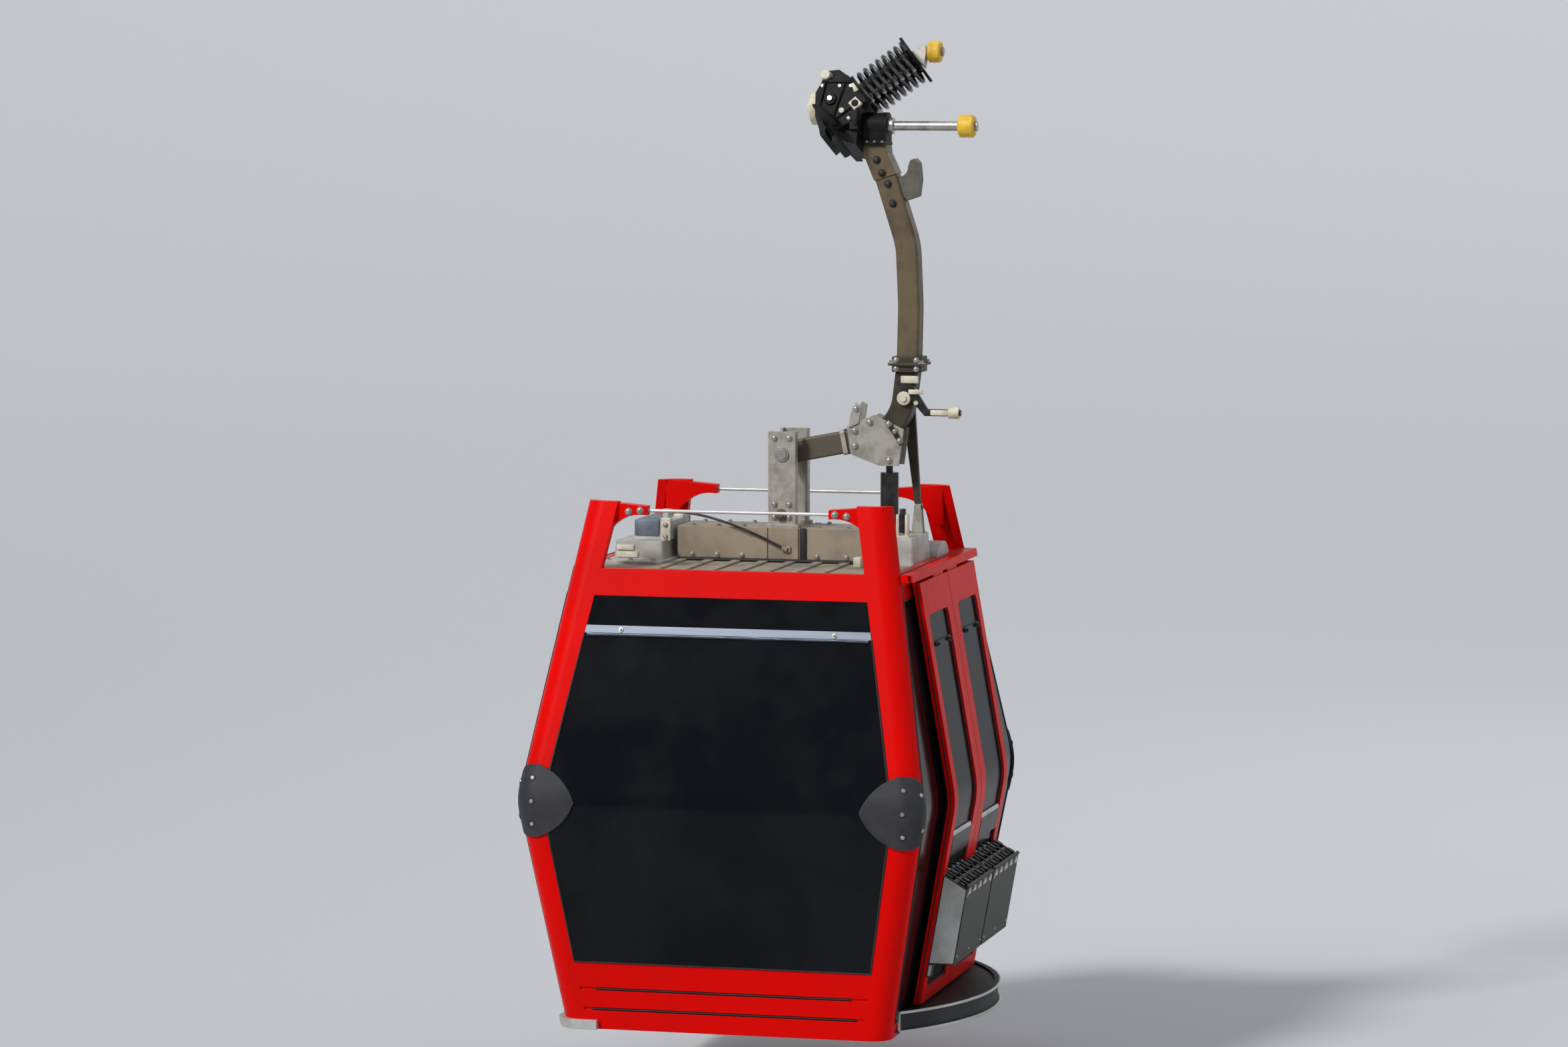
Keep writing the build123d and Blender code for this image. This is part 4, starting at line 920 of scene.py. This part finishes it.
beam_low, beam_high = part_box("roof_beam")
roof_z = beam_low.z
cover = bmesh.new()
block(cover, (-0.930, -0.171, 0.112), (-0.812, 0.171, 0.187), base=roof_z)
build("housing_cover", cover, slate_cover, "carriage")
straps = bmesh.new()
for low, high in (
    # lower and upper corner, heights above the roof: two uprights, the lid's two lips, two tags on the
    # blind housing and a foot by the door housing
    ((-0.800, -0.178, 0.090), (-0.754, -0.166, 0.196)),
    ((-0.800, 0.166, 0.090), (-0.754, 0.178, 0.196)),
    ((-0.801, -0.179, 0.184), (-0.753, -0.150, 0.197)),
    ((-0.801, 0.040, 0.180), (-0.753, 0.179, 0.197)),
    ((-0.984, -0.286, 0.020), (-0.880, -0.262, 0.048)),
    ((-0.984, -0.286, 0.054), (-0.900, -0.262, 0.078)),
    ((0.150, -0.300, 0.000), (0.186, -0.240, 0.046)),
):
    block(straps, low, high, base=roof_z)
build("housing_straps", straps, cream_plate, "carriage")
housing_bolts = bmesh.new()
for bolt_x in (-1.008, -0.90, -0.79):
    for bolt_y in (-0.34, 0.34):
        bolt(housing_bolts, (bolt_x, bolt_y, roof_z + 0.014), up, 0.010)
for bolt_y in (-0.12, -0.04, 0.04, 0.12):
    bolt(housing_bolts, (0.315, bolt_y, roof_z + 0.130), up, 0.008)
for rise in (0.110, 0.165):
    bolt(housing_bolts, (-0.777, -0.178, roof_z + rise), near, 0.008)
build("housing_bolts", housing_bolts, bright_steel, "carriage")
# Black bead along the foot of each face of the beam: partly a hose, partly painted shadow under the beam's
# edge.
foot_lines = [
    [Vector((step / 100, end * 0.150, roof_z + 0.008)) for step in range(-72, 29, 4)] for _, end in ends
]
bead("beam_foot_hose_and_shadow", foot_lines, 0.010, black_rubber, "carriage", closed=False)
# Thin black strip down each face of the beam under the column: partly a strap, partly painted shade of the
# column plate falling there.
straps_and_shade = bmesh.new()
for _, end in ends:
    strap_y = end * 0.1465
    block(
        straps_and_shade,
        (-0.142, strap_y - 0.0035, roof_z + 0.004),
        (-0.112, strap_y + 0.0035, beam_high.z + 0.002),
        0.002,
    )
build("beam_straps_and_shade", straps_and_shade, black_rubber, "carriage")
roof_bolts = bmesh.new()
for bolt_x in (-0.66, -0.54, -0.42, -0.06, 0.08, 0.22):
    for _, end in ends:
        place, normal = on_surface("roof_beam", (bolt_x, end * outside, roof_z + 0.03), (0, -end, 0))
        bolt(roof_bolts, place, normal, 0.009)
        place, normal = on_surface("roof_beam", (bolt_x, end * 0.10, 0), -up)
        if place.z > beam_high.z - 0.01:
            bolt(roof_bolts, place, normal, 0.010)
build("roof_bolts", roof_bolts, bright_steel, "carriage")

# Column and suspension: two flanged galvanised plates stand up from the beam and hold the suspension pin in
# rubber bushes between them. Bolts clamp each plate at its foot and its top, with a brown boss at the foot.
pale_galvanised = finish(
    "pale_galvanised",
    (0.41, 0.40, 0.35),
    (0.25, 0.235, 0.20),
    roughness=0.5,
    metallic=0.4,
    patch_size=0.07,
    grain=0.0025,
    relief=0.25,
    edge=0.003,
    worn=(0.66, 0.66, 0.62),
)
brown_galvanised = finish(
    "brown_galvanised",
    (0.150, 0.112, 0.063),
    (0.090, 0.068, 0.042),
    roughness=0.5,
    metallic=0.35,
    patch_size=0.12,
    grain=0.0025,
    relief=0.3,
    edge=0.004,
    worn=(0.36, 0.31, 0.22),
)
dress(pale_galvanised, "column_plates", "elbow_plates", "door_gear")
dress(bright_steel, "suspension_pin")
column_bolts = bmesh.new()
column_low, column_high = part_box("column_plates")
column_middle = (column_low.x + column_high.x) / 2
for _, end in ends:
    for bolt_x in (column_middle - 0.035, column_middle + 0.035):
        for bolt_z in (column_low.z + 0.05, column_low.z + 0.11, column_high.z - 0.03):
            place, normal = on_surface("column_plates", (bolt_x, end * outside, bolt_z), (0, -end, 0))
            bolt(column_bolts, place, normal, 0.010)
build("column_bolts", column_bolts, bright_steel, "carriage")
foot_bosses = bmesh.new()
for _, end in ends:
    boss_place = Vector((column_middle - 0.004, end * 0.133, column_low.z + 0.060))
    disc(foot_bosses, boss_place, (0, end, 0), 0.030, 0.018, 28, 0.026)
    disc(foot_bosses, boss_place + Vector((0, end * 0.018, 0)), (0, end, 0), 0.015, 0.008, 6)
build("column_foot_bosses", foot_bosses, brown_galvanised, "carriage")

# Hanger: a bent box section of galvanised steel gone brown and dull, in two halves joined by a bolted
# collar, with the damper, the door lever and the strut to the door gear on its lower arm. Plates, lugs and
# brackets are bolted to lever and elbow, and two posts and a low round cover stand by the door gear.
dress(brown_galvanised, "hanger_head", "hanger_arm")
olive_steel = finish(
    "olive_steel",
    (0.055, 0.048, 0.030),
    (0.030, 0.027, 0.020),
    roughness=0.5,
    metallic=0.3,
    patch_size=0.08,
    grain=0.0025,
    relief=0.3,
    edge=0.004,
    worn=(0.30, 0.27, 0.20),
    towards_blind=((0.108, 0.090, 0.066), 0.10, 0.14),
)
dress(olive_steel, "hanger_elbow", "door_strut", "hanger_collar")
fork_grey = finish(
    "fork_grey",
    (0.13, 0.125, 0.10),
    (0.075, 0.070, 0.055),
    roughness=0.52,
    metallic=0.3,
    patch_size=0.06,
    grain=0.003,
    relief=0.4,
    edge=0.004,
    worn=(0.34, 0.33, 0.28),
)
dress(fork_grey, "guide_fork")
damper_black = finish(
    "damper_black",
    (0.012, 0.012, 0.013),
    (0.035, 0.033, 0.03),
    roughness=0.3,
    patch_size=0.05,
    worn=(0.2, 0.2, 0.2),
)
dress(damper_black, "damper", "door_lever")
hanger_bolts = bmesh.new()
collar_low, collar_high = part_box("hanger_collar")
collar_middle = (collar_low + collar_high) / 2
plate_spots = ((0.10, -1.34), (0.10, -1.41), (0.17, -1.30), (0.29, -1.34), (0.262, -1.475))
for _, end in ends:
    for bolt_x in (collar_middle.x - 0.048, collar_middle.x + 0.048):
        for bolt_z in (collar_middle.z - 0.02, collar_middle.z + 0.02):
            place, normal = on_surface("hanger_collar", (bolt_x, end * outside, bolt_z), (0, -end, 0))
            bolt(hanger_bolts, place, normal, 0.009)
    for bolt_x, bolt_z in plate_spots:
        place, normal = on_surface("elbow_plates", (bolt_x, end * outside, bolt_z), (0, -end, 0))
        bolt(hanger_bolts, place, normal, 0.011)
for _, end in ends:
    for bolt_x in (collar_middle.x - 0.070, collar_middle.x + 0.070):
        bolt(hanger_bolts, (bolt_x, end * 0.066, collar_low.z + 0.040), up, 0.012)
build("hanger_bolts", hanger_bolts, bright_steel, "carriage")

lever_fittings = bmesh.new()
block(lever_fittings, (0.318, -0.070, -1.116), (0.400, -0.0495, -1.082))
block(lever_fittings, (0.356, -0.078, -1.166), (0.424, -0.0655, -1.144), 0.003)
block(lever_fittings, (0.458, -0.071, -1.263), (0.544, -0.045, -1.237), 0.005)
disc(lever_fittings, (0.332, -0.0655, -1.186), near, 0.033, 0.008, 28, 0.030)
disc(lever_fittings, (0.332, -0.0735, -1.186), near, 0.016, 0.009, 6)
disc(lever_fittings, (0.392, -0.0655, -1.206), near, 0.011, 0.012, 6)
build("lever_fittings", lever_fittings, cream_plate, "carriage")

elbow_lugs = bmesh.new()
lug_outline = ((0.072, -1.326), (0.118, -1.304), (0.130, -1.226), (0.104, -1.212), (0.080, -1.262))
for _, end in ends:
    lug = [elbow_lugs.verts.new((lug_x, end * 0.0555, lug_z)) for lug_x, lug_z in lug_outline]
    pull(elbow_lugs, [elbow_lugs.faces.new(lug)], (0, end * 0.012, 0))
build("elbow_lugs", elbow_lugs, pale_galvanised, "carriage")
elbow_bolts = bmesh.new()
elbow_brackets = bmesh.new()
for _, end in ends:
    bolt(elbow_bolts, (0.106, end * 0.067, -1.238), (0, end, 0), 0.010)
    bracket = aimed((0.288, end * 0.063, -1.345), (0.55, 0, -0.83))
    slab(elbow_brackets, bracket, (0.012, 0.024, 0.130), 0.003)
    for bolt_x, bolt_z in ((0.262, -1.306), (0.314, -1.384)):
        bolt(elbow_bolts, (bolt_x, end * 0.069, bolt_z), (0, end, 0), 0.010)
build("elbow_brackets", elbow_brackets, damper_black, "carriage")
build("elbow_bolts", elbow_bolts, bright_steel, "carriage")

gear_posts = bmesh.new()
for post_x in (0.316, 0.358):
    block(gear_posts, (post_x, -0.150, 0.128), (post_x + 0.014, -0.110, 0.236), 0.003, roof_z)
block(gear_posts, (0.308, -0.156, 0.128), (0.380, -0.104, 0.138), 0.003, roof_z)
build("gear_posts", gear_posts, cream_plate, "carriage")
gear_bar = bmesh.new()
block(gear_bar, (0.330, -0.142, 0.150), (0.358, -0.118, 0.262), base=roof_z)
build("gear_bar", gear_bar, damper_black, "carriage")
gear_cover = bmesh.new()
disc(gear_cover, (0.340, 0.300, roof_z), door, 0.076, 0.096, 48)
bmesh.ops.scale(gear_cover, verts=gear_cover.verts, vec=(1, 1.6, 1), space=Matrix.Translation((0, -0.300, 0)))
bmesh.ops.bisect_plane(
    gear_cover,
    geom=list(gear_cover.verts) + list(gear_cover.edges) + list(gear_cover.faces),
    plane_co=(0, 0, roof_z + 0.001),
    plane_no=(0, 0, -1),
    clear_outer=True,
)
bmesh.ops.holes_fill(gear_cover, edges=[edge for edge in gear_cover.edges if edge.is_boundary])
build("gear_cover", gear_cover, housing_shell, "carriage", radians(30))
dark_steel = finish(
    "dark_steel", (0.03, 0.028, 0.025), (0.07, 0.06, 0.05), roughness=0.45, metallic=0.6, patch_size=0.03
)
head_bolts = bmesh.new()
for _, end in ends:
    # the node that the bolt sits on, its x, its height
    for node, bolt_x, bolt_z in (
        ("hanger_head", 0.200, -0.09),
        ("hanger_head", 0.225, -0.15),
        ("hanger_arm", 0.252, -0.20),
        ("hanger_arm", 0.275, -0.29),
    ):
        place, normal = on_surface(node, (bolt_x, end * outside, bolt_z), (0, -end, 0))
        bolt(head_bolts, place, normal, 0.012)
build("head_bolts", head_bolts, dark_steel, "carriage")

# Grip: oily black castings round the rope's place, two coil springs behind them, a level steel guide arm
# and yellow and cream rollers. Cast ribs, cream caps and bright nuts stand on both of the body's ends; the
# square cream cap and the slanted cream strip above it are also painted highlights on the casting. Six small
# bolts hold the foot of the bearing on the main shaft, and a larger one stands on top of it.
grip_black = finish(
    "grip_black",
    (0.007, 0.007, 0.008),
    (0.020, 0.018, 0.015),
    roughness=0.52,
    patch_size=0.06,
    grain=0.003,
    relief=0.5,
    edge=0.004,
    worn=(0.14, 0.13, 0.11),
    specular=0.12,
)
spring_steel = finish(
    "spring_steel",
    (0.010, 0.010, 0.011),
    (0.028, 0.026, 0.022),
    roughness=0.16,
    patch_size=0.04,
    grain=0.002,
    relief=0.12,
    edge=0.003,
    worn=(0.20, 0.19, 0.17),
    coat=1.0,
    specular=0.8,
)
roller_yellow = finish(
    "roller_yellow",
    (0.80, 0.50, 0.03),
    (0.58, 0.34, 0.03),
    roughness=0.42,
    patch_size=0.04,
    grain=0.002,
    relief=0.15,
    edge=0.003,
    worn=(0.85, 0.62, 0.2),
)
roller_cream = finish(
    "roller_cream",
    (0.72, 0.66, 0.50),
    (0.48, 0.42, 0.30),
    roughness=0.5,
    patch_size=0.05,
    grain=0.002,
    relief=0.15,
    edge=0.003,
)
dress(grip_black, "grip_body", "grip_jaw", "rope_tongues", "spring_guides", "bearing_housing")
rope_slope = radians(18)
rope_down = Vector((0, cos(rope_slope), -sin(rope_slope)))
rope_up = Vector((0, sin(rope_slope), cos(rope_slope)))
body_half = 0.145


def at_rope(x, rise, along):
    """Place by its distance across the rope, above it and down along it."""
    return Vector((x, 0, 0)) + rope_up * rise + rope_down * along


def rib(mesh, foot, tip, out, width, height):
    """Cast rib between two places, standing out from a face."""
    run = tip - foot
    sideways = out.cross(run).normalized()
    turn = Matrix((sideways, out.normalized(), run.normalized())).transposed().to_4x4()
    slab(mesh, Matrix.Translation((foot + tip) / 2) @ turn, (width, height, run.length), 0.003)


grip_ribs = bmesh.new()
grip_caps_and_highlights = bmesh.new()
grip_nuts = bmesh.new()
for _, end in ends:
    out = rope_down * end
    face = end * body_half
    # both ends of a rib: distance across the rope and rise above it
    for first, last in (
        ((-0.066, 0.090), (-0.040, 0.236)),
        ((-0.030, 0.236), (0.092, 0.236)),
        ((0.006, 0.066), (0.050, 0.226)),
        ((0.024, 0.062), (0.118, 0.142)),
        ((0.118, 0.026), (0.118, 0.138)),
    ):
        rib(grip_ribs, at_rope(*first, face), at_rope(*last, face), out, 0.014, 0.020)
    disc(grip_ribs, at_rope(-0.010, 0.150, face), out, 0.030, 0.012, 28, 0.026)
    disc(grip_caps_and_highlights, at_rope(-0.040, 0.264, end * 0.121), out, 0.027, 0.046, 24, 0.022)
    # Square cream cap with a dark middle: partly a cap, partly a painted highlight where light glints on the
    # casting.
    disc(grip_caps_and_highlights, at_rope(0.110, 0.128, face), out, 0.034, 0.016, 4, 0.031)
    disc(grip_caps_and_highlights, at_rope(0.048, 0.094, face), out, 0.017, 0.014, 6, 0.013)
    disc(grip_caps_and_highlights, at_rope(0.084, 0.058, face), out, 0.010, 0.014, 6, 0.008)
    disc(grip_ribs, at_rope(0.110, 0.128, face + end * 0.016), out, 0.017, 0.006, 20, 0.014)
    disc(grip_nuts, at_rope(-0.010, 0.150, face + end * 0.012), out, 0.013, 0.010, 6)
    # Slanted cream strip on the spring seat's edge: a painted highlight where light catches that edge.
    rib(grip_caps_and_highlights, at_rope(0.112, 0.188, face), at_rope(0.092, 0.228, face), out, 0.024, 0.018)
    for nut_x in (-0.052, 0.030, 0.082):
        disc(grip_nuts, at_rope(nut_x, 0.213, face), out, 0.009, 0.010, 6, 0.008)
    bolt(grip_nuts, at_rope(0.0, 0.056, end * 0.172), rope_up + Vector((0, 0, 0.2)), 0.009)
block(grip_caps_and_highlights, (-0.154, 0.028, 0.122), (-0.142, 0.064, 0.166), 0.003)
bearing_bolts = bmesh.new()
for bolt_x in (0.153, 0.190, 0.227):
    for bolt_y in (-0.0605, 0.0605):
        bolt(bearing_bolts, (bolt_x, bolt_y, -0.009), up, 0.0065)
bolt(bearing_bolts, (0.205, -0.014, 0.125), up, 0.013)
build("bearing_bolts", bearing_bolts, bright_steel, "carriage")
build("grip_ribs", grip_ribs, grip_black, "grip")
build("grip_caps_and_highlights", grip_caps_and_highlights, cream_plate, "grip")
build("grip_nuts", grip_nuts, bright_steel, "grip")
dress(pale_galvanised, "lever_head")
dress(spring_steel, "grip_springs")
dress(bright_steel, "guide_shaft", "wheel_axle")
dress(roller_yellow, "guide_roller", "lever_roller")
dress(roller_cream, "running_wheel", "lever_wheel")
